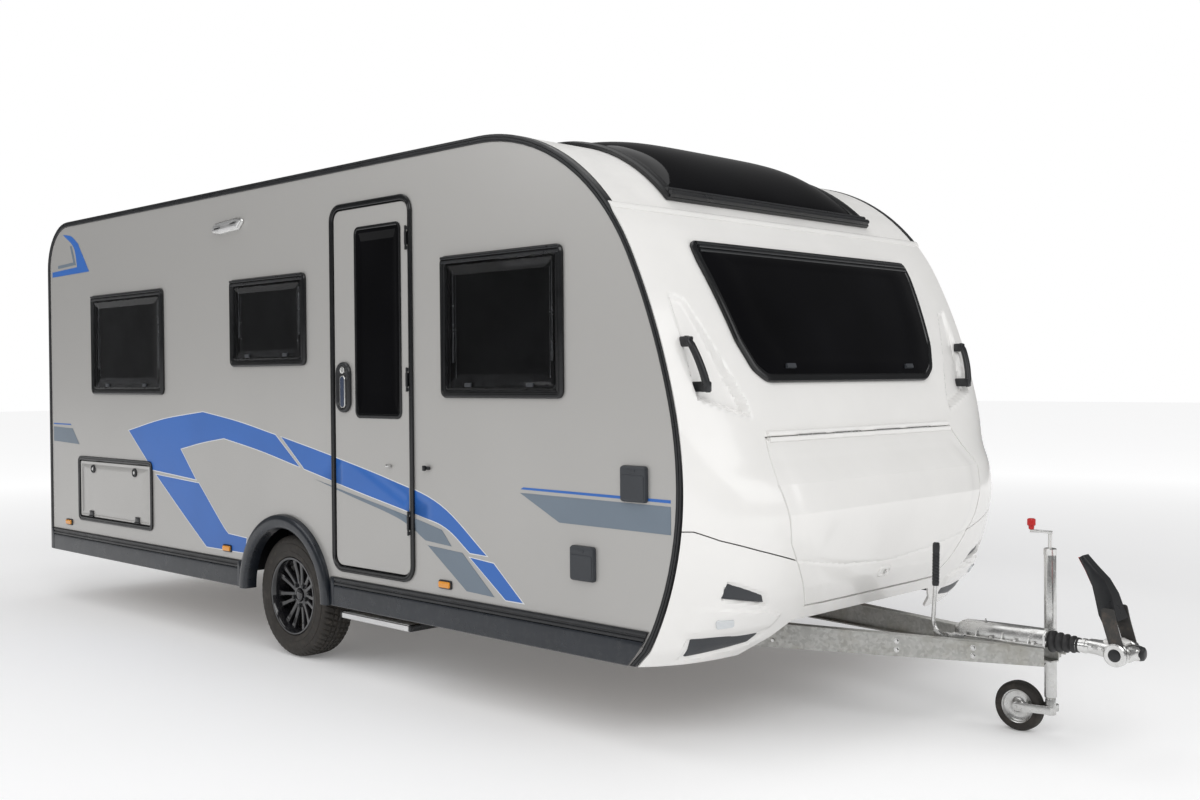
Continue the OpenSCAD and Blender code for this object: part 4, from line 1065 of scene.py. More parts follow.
def window_piece(name, x0, z0, x1, z1, place, nodes, body=BODY, stays=True):
    """Hinged caravan window: stepped frame, raised pane, top rails, stays and catches."""
    f = settings().window_frame
    out = settings().window_proud
    box_line = rect(x0, z0, x1, z1)
    frame_piece = moulding(
        name + "_frame", box_line, 0.034,
        [(0, 0.0005), (0, out * 0.55), (0.003, out * 0.8), (0.008, out), (0.016, out),
         (0.019, out - 0.005), (0.023, out - 0.005), (0.026, out - 0.001), (f - 0.003, out - 0.002),
         (f, out - 0.007), (f + 0.008, 0.004), (f + 0.008, 0.0005)], place)
    give(frame_piece, "gloss_black", "acrylic_dark", *nodes, body=body)
    ix0, iz0, ix1, iz1 = x0 + f, z0 + f, x1 - f, z1 - f
    # Near-black sheet behind the pane: painted shade for the shaded inside seen through the window
    shade_backing = pane(name + "_blind", rect(ix0 - 0.006, iz0 - 0.006, ix1 + 0.006, iz1 + 0.006), 0.02,
                 [(0, -0.030), (0, -0.022), (0.006, -0.020)], place)
    give(shade_backing, "dark", "acrylic_dark", body=body)
    glass = pane(name + "_pane", rect(ix0 - 0.004, iz0 - 0.004, ix1 + 0.004, iz1 + 0.004), 0.024,
                 [(0, 0.002), (0, 0.009), (0.003, 0.013), (0.012, 0.0145), (0.022, 0.013),
                  (0.028, 0.0105)], place)
    give(glass, "clear", "acrylic_dark", body=body)
    rails = []
    for dz, h in ((0.007, out + 0.003), (-0.012, out + 0.001)):
        zc = z1 - 0.006 + dz - 0.012
        rails.append(moulding("rail", rect(x0 + 0.010, zc - 0.006, x1 - 0.010, zc + 0.006), 0.005,
                              [(0, out - 0.006), (0, h - 0.002), (0.002, h), (0.005, h),
                               (0.005, out - 0.006)], place))
    give(join(name + "_rails", rails), "black", "trim_black", body=body)
    if stays:
        bars = []
        for s, xs in ((1, ix0 + 0.034), (-1, ix1 - 0.034)):
            top, low = iz1 - 0.03, iz0 + 0.14
            bars.append(rod("stay", place(xs, low, -0.008), place(xs, top, -0.008), 0.0045))
            bars.append(rod("stay", place(xs, low - 0.02, -0.008), place(xs, low + 0.06, -0.008),
                            0.0065))
            bars.append(rod("stay", place(xs + s * 0.016, iz0 + 0.05, -0.010),
                            place(xs + s * 0.016, iz1 - 0.05, -0.010), 0.002))
        give(join(name + "_stays", bars), "bright", "acrylic_dark", body=body)
        knobs = []
        for xs in (ix0 + (ix1 - ix0) * 0.22, ix1 - (ix1 - ix0) * 0.22):
            knobs.append(pane("catch", rect(xs - 0.022, iz0 + 0.012, xs + 0.022, iz0 + 0.030),
                              0.006, [(0, 0.008), (0, 0.016), (0.003, 0.0185), (0.006, 0.0185)],
                              place))
        give(join(name + "_catches", knobs), "grey", "trim_black", body=body)
    return frame_piece


class CARAVAN_OT_windows(bpy.types.Operator):
    """Model the hinged windows of both sides and the rear wall"""
    bl_idname = "caravan.windows"
    bl_label = "Side and rear windows"

    def execute(self, context):
        for short, node in (("front", "window_right_front"), ("middle", "window_right_middle"),
                            ("rear", "window_right_rear")):
            low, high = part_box(node)
            window_piece("window_right_" + short + "_unit", low.x, low.z, high.x, high.z,
                         on_right, [node])
        for short, node in (("front", "window_right_front"), ("rear", "window_right_rear")):
            low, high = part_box(node)
            window_piece("window_left_" + short + "_unit", low.x, low.z, high.x, high.z,
                         on_left, ["windows_left"])
        low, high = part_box("rear_window")
        window_piece("window_rear_unit", low.y, low.z, high.y, high.z, on_rear, ["rear_window"])
        return {"FINISHED"}


FRONT_GLASS = both_ways([(-0.811, 1.982), (-0.811, 1.900), (-0.747, 1.575), (-0.690, 1.460),
                         (-0.613, 1.410)])
GLASS_CORNERS = [0.030, 0.08, 0.10, 0.07, 0.10]
GLASS_CORNERS += GLASS_CORNERS[::-1]


def glass_line(d):
    shape = inset(FRONT_GLASS, d)
    return along_edges(rounded(shape, [max(0.004, r - d) for r in GLASS_CORNERS], 4), 0.05)


def shaped(points, count):
    """The same line with a set number of points, evenly spread from its first point."""
    points = [Vector(p) for p in points]
    lengths = [0.0]
    for i, p in enumerate(points):
        lengths.append(lengths[-1] + (points[(i + 1) % len(points)] - p).length)
    out = []
    k = 0
    for i in range(count):
        goal = lengths[-1] * i / count
        while lengths[k + 1] < goal:
            k += 1
        share = (goal - lengths[k]) / max(1e-9, lengths[k + 1] - lengths[k])
        out.append(points[k].lerp(points[(k + 1) % len(points)], share))
    return out


def glass_ring(d, h, count=220):
    return [on_nose(u, v, h) for u, v in shaped(glass_line(d), count)]


class CARAVAN_OT_front_window(bpy.types.Operator):
    """Model the front window: frame, top rails and the curved pane"""
    bl_idname = "caravan.front_window"
    bl_label = "Front window"

    def execute(self, context):
        rings = [glass_ring(d, h) for d, h in
                 ((0, 0.0015), (0, 0.012), (0.004, 0.018), (0.014, 0.021), (0.026, 0.019),
                  (0.029, 0.014), (0.034, 0.014), (0.034, 0.002))]
        give(surface("front_window_frame", rings, True, True), "gloss_black", "acrylic_dark",
             "front_window")
        outer = shaped(glass_line(0.032), 220)
        mid = Vector((0, 1.72))
        rows = []
        for k in range(15):
            t = k / 14
            lift = 0.016 + 0.010 * min(1.0, t * 7) - 0.004 * (0.15 < t)
            rows.append([on_nose(*(p.lerp(Vector((p.x * 0.02, mid.y)), t)), lift) for p in outer])
        base = [on_nose(u, v, 0.004) for u, v in outer]
        rows = [base] + rows + [collapse(rows[-1])]
        glass = surface("front_window_pane", rows, True, angle=50)
        give(glass, "pane", "acrylic_dark")
        rails = []
        for dz, lift in ((0.0, 0.020), (-0.016, 0.024), (IN_WALL, 0.022)):
            rings = []
            for i in range(45):
                y = -0.782 + 1.564 * i / 44
                z = 1.969 + dz
                rings.append([on_nose(y, z + a, lift + b) for a, b in
                              both_ways([(-0.006, -0.012), (-0.006, 0.0), (-0.003, 0.004)])])
            rails.append(capped("rail", rings))
        give(join("front_window_rails", rails), "black", "trim_black")
        catches = [nose_patch("catch", rect(y - 0.03, 1.462, y + 0.03, 1.480), 0.034, 0.02)
                   for y in (-0.46, 0.46)]
        give(join("front_window_catches", catches), "grey", "trim_black")
        return {"FINISHED"}


# ---------------------------------------------------------------- sides

FRONT_LAP = 0.007


def side_line(d):
    """The side's outline moved in by d, from the front skirt over the roof to the rear.

    Along the front mouldings it stays behind their edges, which lap over it.
    """
    points = []
    whole, d = d, max(d, FRONT_LAP)
    for z in (SKIRT_Z + 0.001, 0.5 * (SKIRT_Z + CHIN_Z), CHIN_Z):
        points.append((side_x(z) - 1.35 * d, z))
    for centre, r, a0, a1, n in ((CHIN_C, CHIN_R, -CHIN_A, 0, 10), (LOW_C, LOW_R, 0, LOW_A, 6),
                                 (MID_C, MID_R, LOW_A, MID_A, 12),
                                 (ROOF_C, ROOF_R, MID_A, math.pi / 2, 30)):
        for k in range(1, n + 1):
            a = a0 + (a1 - a0) * k / n
            d = whole if a > SEAM_A else d
            points.append((centre[0] + (r - d) * math.cos(a), centre[1] + (r - d) * math.sin(a)))
    for k in range(13):
        a = math.pi / 2 * (1 + k / 12)
        points.append((REAR_X + REAR_R + (REAR_R - d) * math.cos(a),
                       ROOF_Z - REAR_R + (REAR_R - d) * math.sin(a)))
    points.append((REAR_X + d, SKIRT_Z + 0.001))
    return points


class CARAVAN_OT_edge_trims(bpy.types.Operator):
    """Model the grooved black trims round both side walls"""
    bl_idname = "caravan.edge_trims"
    bl_label = "Edge trims"

    def execute(self, context):
        w = settings().trim
        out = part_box("edge_trim_left")[1].y - HALF_W
        low = INNER_Y - HALF_W + 0.001
        section = [(0.0, low), (0.0, out - 0.005), (0.002, out - 0.001), (0.006, out),
                   (w * 0.36, out), (w * 0.40, out - 0.003), (w * 0.46, out - 0.003),
                   (w * 0.50, out), (w * 0.74, out), (w * 0.78, out - 0.0025),
                   (w * 0.84, out - 0.0025), (w * 0.88, out - 0.001), (w - 0.001, out - 0.002),
                   (w, out - 0.004), (w, SEAT), (w * 0.5, SEAT), (w * 0.5, low)]
        lines = [side_line(d) for d, _ in section]
        for place, label, node in ((on_right, "right", "edge_trim_right"),
                                   (on_left, "left", "edge_trim_left")):
            rows = [[place(*lines[j][i], h) for j, (_, h) in enumerate(section)]
                    for i in range(len(lines[0]))]
            give(capped("edge_moulding_" + label, rows, 28), "black", "trim_black", node)
        return {"FINISHED"}


def leaf(name, outline, radius, hole, hole_radius, thick, face, place):
    """A panel with rounded edges and a rounded window opening."""
    rows = []
    for d, h in ((0, face - thick), (0, face - 0.002), (0.002, face)):
        rows.append([place(u, v, h) for u, v in rounded(inset(outline, d), radius)])
    for d, h in ((0.0, face), (0.0, face - thick)):
        rows.append([place(u, v, h) for u, v in rounded(inset(hole, d), hole_radius)])
    return surface(name, rows, True, True)


class CARAVAN_OT_door(bpy.types.Operator):
    """Model the entrance door: frame, leaf, tall pane, handle, hinges and catch"""
    bl_idname = "caravan.door"
    bl_label = "Entrance door"

    def execute(self, context):
        low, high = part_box("door_frame")
        x0, x1 = low.x, high.x
        z0, z1 = low.z, high.z
        f = settings().door_frame
        line = rect(x0, z0, x1, z1)
        give(moulding("door_surround", line, 0.080,
                      [(0, SEAT), (0, 0.009), (0.003, 0.012), (0.009, 0.012), (0.011, 0.009),
                       (0.0135, 0.009), (0.0155, 0.012), (f - 0.004, 0.0115), (f - 0.001, 0.009),
                       (f, 0.006), (f, IN_WALL), (0.0095, IN_WALL), (0.0095, SEAT)], on_right),
             "gloss_black", "trim_black", "door_frame")
        gap = f + 0.006
        glass = (x0 + 0.204, z0 + 0.752, x0 + 0.569, z0 + 1.667)
        opening = rect(glass[0] + 0.012, glass[1] + 0.012, glass[2] - 0.012, glass[3] - 0.012)
        give(leaf("door_leaf", inset(line, gap), 0.048, opening, 0.022, 0.030, 0.004, on_right),
             "wall", "wall_silver", "entrance_door", body="entrance_door")
        give(moulding("door_seal", inset(line, gap - 0.0035), 0.048,
                      [(0, -0.004), (0, 0.0), (0.0025, 0.0015), (0.0033, 0.0), (0.0033, -0.004)],
                      on_right), "soft_black", "trim_black", body="entrance_door")
        give(moulding("door_pane_frame", rect(*glass), 0.034,
                      [(0, 0.0044), (0, 0.007), (0.003, 0.0095), (0.012, 0.0095),
                       (0.016, 0.006), (0.016, -0.020), (0.013, -0.020), (0.013, 0.0044)],
                      on_right), "gloss_black", "acrylic_dark", body="entrance_door")
        give(pane("door_pane", inset(rect(*glass), 0.0165), 0.018,
                  [(0, -0.016), (0, 0.004), (0.004, 0.0065), (0.02, 0.0065), (0.024, 0.005)],
                  on_right), "pane", "acrylic_dark", body="entrance_door")

        hx, hy = x1 - gap + 0.004, HALF_W + 0.018
        knuckles, brackets = [], []
        for z in (z0 + 0.240, z0 + 0.900, z0 + 1.549):
            knuckles.append(rod("knuckle", (hx, -hy, z), (hx, -hy, z + 0.070), 0.0052))
            knuckles.append(block("knuckle_plate", (hx - 0.016, -hy + 0.003, z + 0.004),
                                  (hx - 0.001, -HALF_W - 0.0044, z + 0.066), 0.0025))
            for dz in (-0.0205, 0.0705):
                brackets.append(rod("hinge_end", (hx, -hy, z + dz), (hx, -hy, z + dz + 0.020),
                                    0.0052))
                brackets.append(block("hinge_plate", (hx + 0.001, -hy + 0.002, z + dz + 0.002),
                                      (hx + 0.013, -HALF_W - 0.0062, z + dz + 0.018), 0.002))
        give(join("door_knuckles", knuckles), "black", "trim_black", body="entrance_door")
        give(join("door_hinge_ends", brackets), "black", "trim_black")

        cx, hz0, hz1 = x0 + 0.112, z0 + 0.777, z0 + 1.023
        half = 0.058
        oval = rounded(rect(cx - half, hz0, cx + half, hz1), half - 0.001, 10)
        base = surface_rings("door_handle_base", oval,
                             [(0, 0.0045), (0, 0.014), (0.003, 0.019), (0.009, 0.021),
                              (0.015, 0.020), (0.019, 0.013), (0.030, 0.010)], on_right)
        give(base, "black", "handle_black", "door_handle", body="entrance_door")
        lever_line = rounded(rect(cx - 0.021, hz0 + 0.022, cx + 0.021, hz1 - 0.066), 0.019, 6)
        give(surface_rings("door_handle_chrome", lever_line,
                           [(0, 0.0095), (0, 0.017), (0.002, 0.0195), (0.005, 0.0195)],
                           on_right), "bright", "handle_black", body="entrance_door")
        give(surface_rings("door_handle_lever", inset(lever_line, 0.005),
                           [(0, 0.014), (0, 0.0195), (0.002, 0.0215), (0.006, 0.0215)],
                           on_right), "lever_blue", "handle_black", body="entrance_door")
        lock_z = hz1 - 0.040
        give(turned("door_lock", on_right(cx, lock_z, 0.008), (0, -1, 0),
                    [(0, 0.0175), (0.010, 0.0175), (0.0125, 0.0160), (0.0130, 0.0125),
                     (0.0115, 0.0115), (0.0115, 0.003), (0.009, 0.002)]), "bright", "handle_black",
                     body="entrance_door")

        stay = [block("stay", on_right(x0 + 0.446, z0 + 0.525, 0.0150),
                      on_right(x0 + 0.486, z0 + 0.539, 0.0044), 0.003),
                rod("stay_pin", on_right(x0 + 0.478, z0 + 0.532, 0.012),
                    on_right(x0 + 0.478, z0 + 0.532, 0.022), 0.006)]
        give(join("door_stay", stay), "bright", "trim_black", body="entrance_door")
        catch = [block("catch", on_right(x1 + 0.078, z0 + 0.526, 0.013),
                       on_right(x1 + 0.118, z0 + 0.542, SEAT), 0.004),
                 block("catch_lip", on_right(x1 + 0.084, z0 + 0.522, 0.024),
                       on_right(x1 + 0.100, z0 + 0.546, 0.011), 0.003)]
        give(join("door_catch", catch), "black", "trim_black")
        return {"FINISHED"}


def surface_rings(name, outline, rings, place, steps=4, angle=30.0):
    """A body over an outline through rings of (inset, height) pairs, closed at both ends."""
    rows = [[(p[0], p[1], h) for p in inset(outline, d)] for d, h in rings]
    last = rows[-1]
    mid = sum((Vector(p) for p in last), Vector()) / len(last)
    for k in range(1, steps):
        rows.append([Vector(p).lerp(mid, k / steps) for p in last])
    rows = [[place(*p) for p in row] for row in rows]
    return surface(name, [collapse(rows[0])] + rows + [collapse(rows[-1])], True, angle=angle)


def round_lock(name, place, u, v, face):
    """Collar of a hatch's round twist lock."""
    out = place(u, v, 1) - place(u, v)
    return turned(name, place(u, v, face), out,
                    [(0, 0.027), (0.006, 0.027), (0.0095, 0.024), (0.0095, 0.019),
                     (0.006, 0.018), (0.006, 0.011), (0.0075, 0.010)])


def hatch(name, frame_node, leaf_node, body, place, line, locks, hinges):
    f = settings().hatch_frame
    give(moulding(name + "_surround", line, 0.038,
                  [(0, SEAT), (0, 0.008), (0.003, 0.010), (0.009, 0.010), (0.011, 0.0075),
                   (0.0135, 0.0075), (0.0155, 0.010), (f - 0.004, 0.0095), (f, 0.006),
                   (f, IN_WALL), (0.0095, IN_WALL), (0.0095, SEAT)], place),
         "gloss_black", "trim_black", frame_node)
    g = f + 0.0055
    give(pane(name + "_leaf", inset(line, g), 0.012,
              [(0, -0.026), (0, 0.0015), (0.0018, 0.0036), (0.014, 0.0036), (0.016, 0.0026),
               (0.019, 0.0026), (0.021, 0.0036)], place), "wall", "wall_silver", leaf_node,
               body=body)
    give(moulding(name + "_seal", inset(line, g - 0.0035), 0.012,
                  [(0, -0.004), (0, 0.0), (0.0025, 0.001), (0.0033, 0.0), (0.0033, -0.004)],
                  place), "soft_black", "trim_black", body=body)
    give(join(name + "_locks", [round_lock("lock", place, u, v, 0.0034) for u, v in locks]),
         "black", "trim_black", body=body)
    keys = [turned("key", place(u, v, 0.0075), place(u, v, 1) - place(u, v),
                   [(0, 0.0105), (0.005, 0.0105), (0.006, 0.009), (0.006, 0.003), (0.0045, 0.0025)])
            for u, v in locks]
    give(join(name + "_keys", keys), "bright", "handle_black", body=body)
    give(join(name + "_hinges", hinges), "black", "trim_black", body=body)


class CARAVAN_OT_hatches(bpy.types.Operator):
    """Model the cargo hatch on the right and the service hatch on the left"""
    bl_idname = "caravan.hatches"
    bl_label = "Hatches"

    def execute(self, context):
        low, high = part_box("hatch_frame")
        g = settings().hatch_frame + 0.0055
        axis_z = low.z + g + 0.005
        hinges = []
        for x in (low.x + 0.160, high.x - 0.220):
            hinges.append(rod("knuckle", on_right(x, axis_z, 0.009),
                              on_right(x + 0.06, axis_z, 0.009),
                              0.0048))
            hinges.append(block("hinge_strap", on_right(x + 0.004, axis_z + 0.002, 0.0095),
                                on_right(x + 0.056, axis_z + 0.034, 0.0042), 0.002))
        locks = [(low.x + 0.22, high.z - g - 0.045), (high.x - 0.22, high.z - g - 0.045)]
        hatch("cargo_hatch_unit", "hatch_frame", "cargo_hatch", "cargo_hatch", on_right,
              rect(low.x, low.z, high.x, high.z), locks, hinges)
        low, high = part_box("service_frame")
        x = low.x + g + 0.005
        hinges = []
        for z in (low.z + 0.080, high.z - 0.140):
            hinges.append(rod("knuckle", on_left(x, z, 0.009), on_left(x, z + 0.06, 0.009), 0.0048))
            hinges.append(block("hinge_strap", on_left(x + 0.002, z + 0.004, 0.0042),
                                on_left(x + 0.034, z + 0.056, 0.0095), 0.002))
        locks = [(high.x - g - 0.045, (low.z + high.z) / 2)]
        hatch("service_hatch_unit", "service_frame", "service_hatch", "service_hatch", on_left,
              rect(low.x, low.z, high.x, high.z), locks, hinges)
        return {"FINISHED"}


def skirt_strip(name, x_rear, front_of, section, place):
    """A strip along the wall from x_rear to front_of(z), with a section of (z, height) pairs."""
    rows = []
    for k in range(9):
        rows.append([place(x_rear + (front_of(z) - x_rear) * k / 8, z, h) for z, h in section])
    return capped(name, rows, 28)


ARCH_R = 0.420


class CARAVAN_OT_skirts(bpy.types.Operator):
    """Model the skirts with their ribbed rails, and the wheel arches"""
    bl_idname = "caravan.skirts"
    bl_label = "Skirts and wheel arches"

    def execute(self, context):
        low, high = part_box("skirt_left")
        out = high.y - HALF_W
        z0, z1 = low.z, high.z
        rail = z1 - 0.040
        panel = [(z0, SEAT), (z0, out * 0.7), (z0 + 0.004, out * 0.95), (z0 + 0.05, out),
                 (rail - 0.010, out * 0.93), (rail - 0.002, out * 0.8), (rail - 0.001, SEAT)]
        ribs = [(rail, SEAT), (rail, out - 0.004), (rail + 0.003, out - 0.001),
                (rail + 0.009, out), (rail + 0.014, out - 0.001), (rail + 0.017, out - 0.005),
                (rail + 0.021, out - 0.005), (rail + 0.024, out - 0.001), (rail + 0.030, out),
                (rail + 0.036, out - 0.001), (z1, out - 0.005), (z1, SEAT)]
        back = REAR_X + settings().trim + SEAT
        gap = AXLE_X - ARCH_R - SEAT
        ahead = AXLE_X + ARCH_R + SEAT

        def front_of(z):
            return side_x(z) - settings().trim * 1.3 - 0.006

        for place, side in ((on_right, "right"), (on_left, "left")):
            for part, section, mat in (("panel", panel, "skirt"), ("rail", ribs, "black")):
                pieces = [skirt_strip("skirt", back, lambda z: gap, section, place),
                          skirt_strip("skirt", ahead, front_of, section, place)]
                give(join("skirt_%s_%s" % (part, side), pieces, 28), mat, "skirt_dark",
                     *(["skirt_" + side] if part == "panel" else ()))
            caps = []
            for x in (back + 0.001, gap - 0.034, ahead + 0.002):
                caps.append(block("cap", place(x, z0 + 0.004, 0.001),
                                  place(x + 0.032, z1 - 0.001, out + 0.0015), 0.004))
            give(join("skirt_caps_" + side, caps), "skirt", "skirt_dark")
            section = [(ARCH_R, SEAT), (ARCH_R, 0.018), (0.416, 0.027), (0.406, 0.0325),
                       (0.392, 0.034), (0.372, 0.034), (0.362, 0.0325), (0.353, 0.027),
                       (0.348, 0.018), (0.348, -0.037), (0.3835, -0.037), (0.3835, SEAT)]
            rows = []
            for k in range(57):
                a = math.pi * k / 56
                rows.append([place(AXLE_X + r * math.cos(a), z0 + r * math.sin(a), h)
                             for r, h in section])
            give(capped("arch_moulding_" + side, rows), "skirt", "skirt_dark", "wheel_arch_" + side)
            plugs = [turned("plug", place(AXLE_X + 0.382 * math.cos(a), z0 + 0.382 * math.sin(a),
                                          0.0325), place(0, 0, 1) - place(0, 0, 0),
                            [(0, 0.008), (0.0008, 0.008), (0.0012, 0.005)], 12)
                     for a in (0.10, 0.9, math.pi - 0.9, math.pi - 0.10)]
            give(join("arch_plugs_" + side, plugs), "black", "skirt_dark")
        return {"FINISHED"}


def boxy(name, u0, v0, u1, v1, out, radius, place, edge_r=0.004):
    """A low cover with rounded corners and a soft front edge."""
    return pane(name, rect(u0, v0, u1, v1), radius,
                [(0, SEAT), (0, out - edge_r), (edge_r * 0.3, out - edge_r * 0.3),
                 (edge_r, out), (edge_r * 2, out)], place)


class CARAVAN_OT_fittings(bpy.types.Operator):
    """Model the awning light, socket covers, markers, grilles and grab handles"""
    bl_idname = "caravan.fittings"
    bl_label = "Wall fittings"

    def execute(self, context):
        x0, x1 = AXLE_X - 0.700, AXLE_X - 0.350
        lozenge = rounded([(x0, 2.252), (x0 + 0.10, 2.238), (x1 - 0.06, 2.248), (x1, 2.300),
                           (x1 - 0.08, 2.316), (x0 + 0.05, 2.304)], 0.014, 4)
        give(surface_rings("awning_light_base", lozenge,
                           [(0, SEAT), (0, 0.008), (0.004, 0.014), (0.010, 0.016)], on_right),
             "bright", "trim_black", "wall_fittings")
        give(surface_rings("awning_light_lens", inset(lozenge, 0.009),
                           [(0, 0.012), (0, 0.019), (0.005, 0.024), (0.014, 0.0255)], on_right),
             "brushed", "trim_black")
        covers = []
        for cx, cz in ((FRONT_X - 0.240, 1.029), (FRONT_X - 0.520, 0.697)):
            covers.append(boxy("cover", cx - 0.067, cz - 0.070, cx + 0.067, cz + 0.070, 0.0195,
                               0.014, on_right, 0.009))
            covers.append(boxy("cover_lid", cx - 0.060, cz - 0.064, cx + 0.060, cz + 0.036, 0.0218,
                               0.010, on_right, 0.003))
            covers.append(boxy("cover_catch", cx - 0.016, cz + 0.044, cx + 0.016, cz + 0.056,
                               0.0215, 0.005, on_right, 0.002))
        give(join("socket_covers", covers), "grey", "trim_black")
        for place, side in ((on_right, "right"), (on_left, "left")):
            bases, lenses = [], []
            for x in (-3.106, -1.096, 0.788):
                bases.append(boxy("marker", x - 0.045, 0.500, x + 0.045, 0.540, 0.008, 0.010,
                                  place))
                lenses.append(boxy("marker", x - 0.038, 0.506, x + 0.038, 0.534, 0.0155, 0.008,
                                   place))
            give(join("marker_bases_" + side, bases), "black", "trim_black")
            give(join("marker_lenses_" + side, lenses), "amber", "lamp_red")
        grilles = []
        for z0 in (0.760, 1.500):
            grilles.append(moulding("grille", rect(-0.430, z0, 0.050, z0 + 0.270), 0.014,
                                    [(0, SEAT), (0, 0.010), (0.004, 0.0135), (0.020, 0.0135),
                                     (0.024, 0.008), (0.024, SEAT)], on_left))
            for k in range(11):
                z = z0 + 0.030 + k * 0.0195
                rows = [[on_left(x, z + dz, h) for dz, h in
                         ((0, SEAT), (0.001, 0.010), (0.004, 0.012), (0.014, 0.005),
                          (0.014, SEAT))] for x in (-0.409, 0.029)]
                grilles.append(capped("slat", rows))
        give(join("fridge_grilles", grilles), "white", "abs_white")

        grips = []
        for s in (-1, 1):
            for z in (1.400, 1.572):
                y = s * (1.004 + 0.040 * (z - 1.400) / 0.172)
                foot = nose_x(y, z) - cheek_scoop(y, z)
                grips.append(block("foot", (foot - 0.002, y - 0.017, z - 0.020),
                                   (nose_x(1.016, z) + 0.036, y + 0.017, z + 0.020), 0.005))
            rows = []
            for k in range(17):
                t = k / 16
                z = 1.378 + 0.216 * t
                y = s * (1.000 + 0.050 * t)
                x = nose_x(1.016, 1.397) + (nose_x(1.016, 1.589) - nose_x(1.016, 1.397)) * t
                bow = 0.026 + 0.014 * math.sin(math.pi * t) ** 0.8
                thin = 0.55 + 0.45 * min(1.0, 8 * t, 8 * (1 - t))
                rows.append([Vector((x + bow + 0.014 * thin * math.cos(a),
                                     y + 0.019 * thin * math.sin(a), z))
                             for a in (2 * math.pi * i / 18 for i in range(18))])
            grips.append(capped("bar", rows))
        give(join("front_grab_handles", grips), "black", "trim_black", "grab_handles")
        grips = []
        for y in (-1.0, 1.0):
            for z in (1.015, 1.205):
                grips.append(block("foot", (REAR_X - 0.024, y - 0.013, z - 0.014),
                                   (REAR_X + 0.001, y + 0.013, z + 0.014), 0.004))
            grips.append(pipe("bar", [(REAR_X - 0.020, y, 1.004), (REAR_X - 0.024, y, 1.012),
                                      (REAR_X - 0.0245, y, 1.208), (REAR_X - 0.020, y, 1.216)],
                              0.008))
        give(join("rear_grab_handles", grips), "black", "trim_black")
        return {"FINISHED"}


class CARAVAN_OT_rear(bpy.types.Operator):
    """Model the rear bumper, tail lamps, high brake lamp and blank number plate"""
    bl_idname = "caravan.rear"
    bl_label = "Rear bumper and lamps"

    def execute(self, context):
        low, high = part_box("rear_bumper")
        section = [(high.x, low.z), (low.x + 0.012, low.z), (low.x + 0.002, low.z + 0.010),
                   (low.x, low.z + 0.05), (low.x, high.z - 0.055), (low.x + 0.004, high.z - 0.045),
                   (low.x + 0.004, high.z - 0.012), (low.x + 0.010, high.z - 0.001),
                   (high.x, high.z)]
        rows = []
        for k in range(33):
            y = low.y + (high.y - low.y) * k / 32
            curl = 0.010 * max(0.0, abs(y) / high.y - 0.9) / 0.1
            dip = 0.030 * max(0.0, 1 - (abs(y) / 0.34) ** 4)
            rows.append([Vector((min(high.x, x + curl), y,
                                 z + (dip if z < low.z + 0.02 else 0.0))) for x, z in section])
        give(capped("rear_valance", rows, 28), "white", "abs_white", "rear_bumper")
        low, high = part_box("tail_lights")
        z0, z1 = low.z, high.z
        reds, ambers, clears, shells = [], [], [], []
        for s in (-1, 1):
            y0, y1 = sorted((s * 0.830, s * 1.090))
            shells.append(boxy("shell", y0, z0, y1, z1, 0.020, 0.012, on_rear))
            parts = [(0.835, 0.925, reds), (0.929, 0.985, clears), (0.989, 1.085, ambers)]
            for a, b, group in parts:
                a, b = sorted((s * a, s * b))
                group.append(boxy("lens", a, z0 + 0.006, b, z1 - 0.006, 0.0285, 0.008, on_rear))
        give(join("tail_lamp_shells", shells), "black", "lamp_red", "tail_lights")
        give(join("tail_lamp_red", reds), "red", "lamp_red")
        give(join("tail_lamp_amber", ambers), "amber", "lamp_red")
        give(join("tail_lamp_clear", clears), "lens", "lamp_red")
        give(boxy("high_brake_lamp", -0.150, 2.070, 0.150, 2.098, 0.014, 0.012, on_rear),
             "red", "lamp_red")
        give(boxy("plate_holder", -0.265, 0.640, 0.265, 0.762, 0.008, 0.010, on_rear),
             "black", "trim_black")
        give(boxy("blank_plate", -0.255, 0.648, 0.255, 0.754, 0.0095, 0.006, on_rear, 0.001),
             "white", "abs_white")
        return {"FINISHED"}


def on_top(x, y, h=0.0):
    return Vector((x, -y, ROOF_Z - 0.002 + h))


class CARAVAN_OT_rooflights(bpy.types.Operator):
    """Model the two rooflights with their domes"""
    bl_idname = "caravan.rooflights"
    bl_label = "Rooflights"

    def execute(self, context):
        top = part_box("rooflights")[1].z - ROOF_Z + 0.002
        for label, cx, hx, hy in (("large", -0.940, 0.340, 0.260), ("small", -2.490, 0.200, 0.200)):
            line = rect(cx - hx, -hy, cx + hx, hy)
            give(moulding("rooflight_base_" + label, line, 0.030,
                          [(0, 0.0008), (0, 0.026), (0.006, 0.034), (0.024, 0.034), (0.030, 0.028),
                           (0.030, 0.0008)], on_top), "white", "abs_white", "rooflights")
            give(pane("rooflight_dome_" + label, inset(line, 0.010), 0.035,
                      [(0, 0.0345), (0, 0.040), (0.012, 0.050), (0.035, 0.058), (0.08, top)],
                      on_top), "lens", "abs_white")
        return {"FINISHED"}


# ---------------------------------------------------------------- stripes

def smooth(points, n=8):
    """A smooth line through the points."""
    points = [Vector(p) for p in points]
    if len(points) < 3:
        return points
    ends = [2 * points[0] - points[1]] + points + [2 * points[-1] - points[-2]]
    out = []
    for i in range(1, len(ends) - 2):
        a, b, c, d = ends[i - 1:i + 3]
        for k in range(n):
            t = k / n
            out.append(0.5 * ((2 * b) + (c - a) * t + (2 * a - 5 * b + 4 * c - d) * t * t
                              + (3 * b - a - 3 * c + d) * t ** 3))
    out.append(points[-1])
    return out


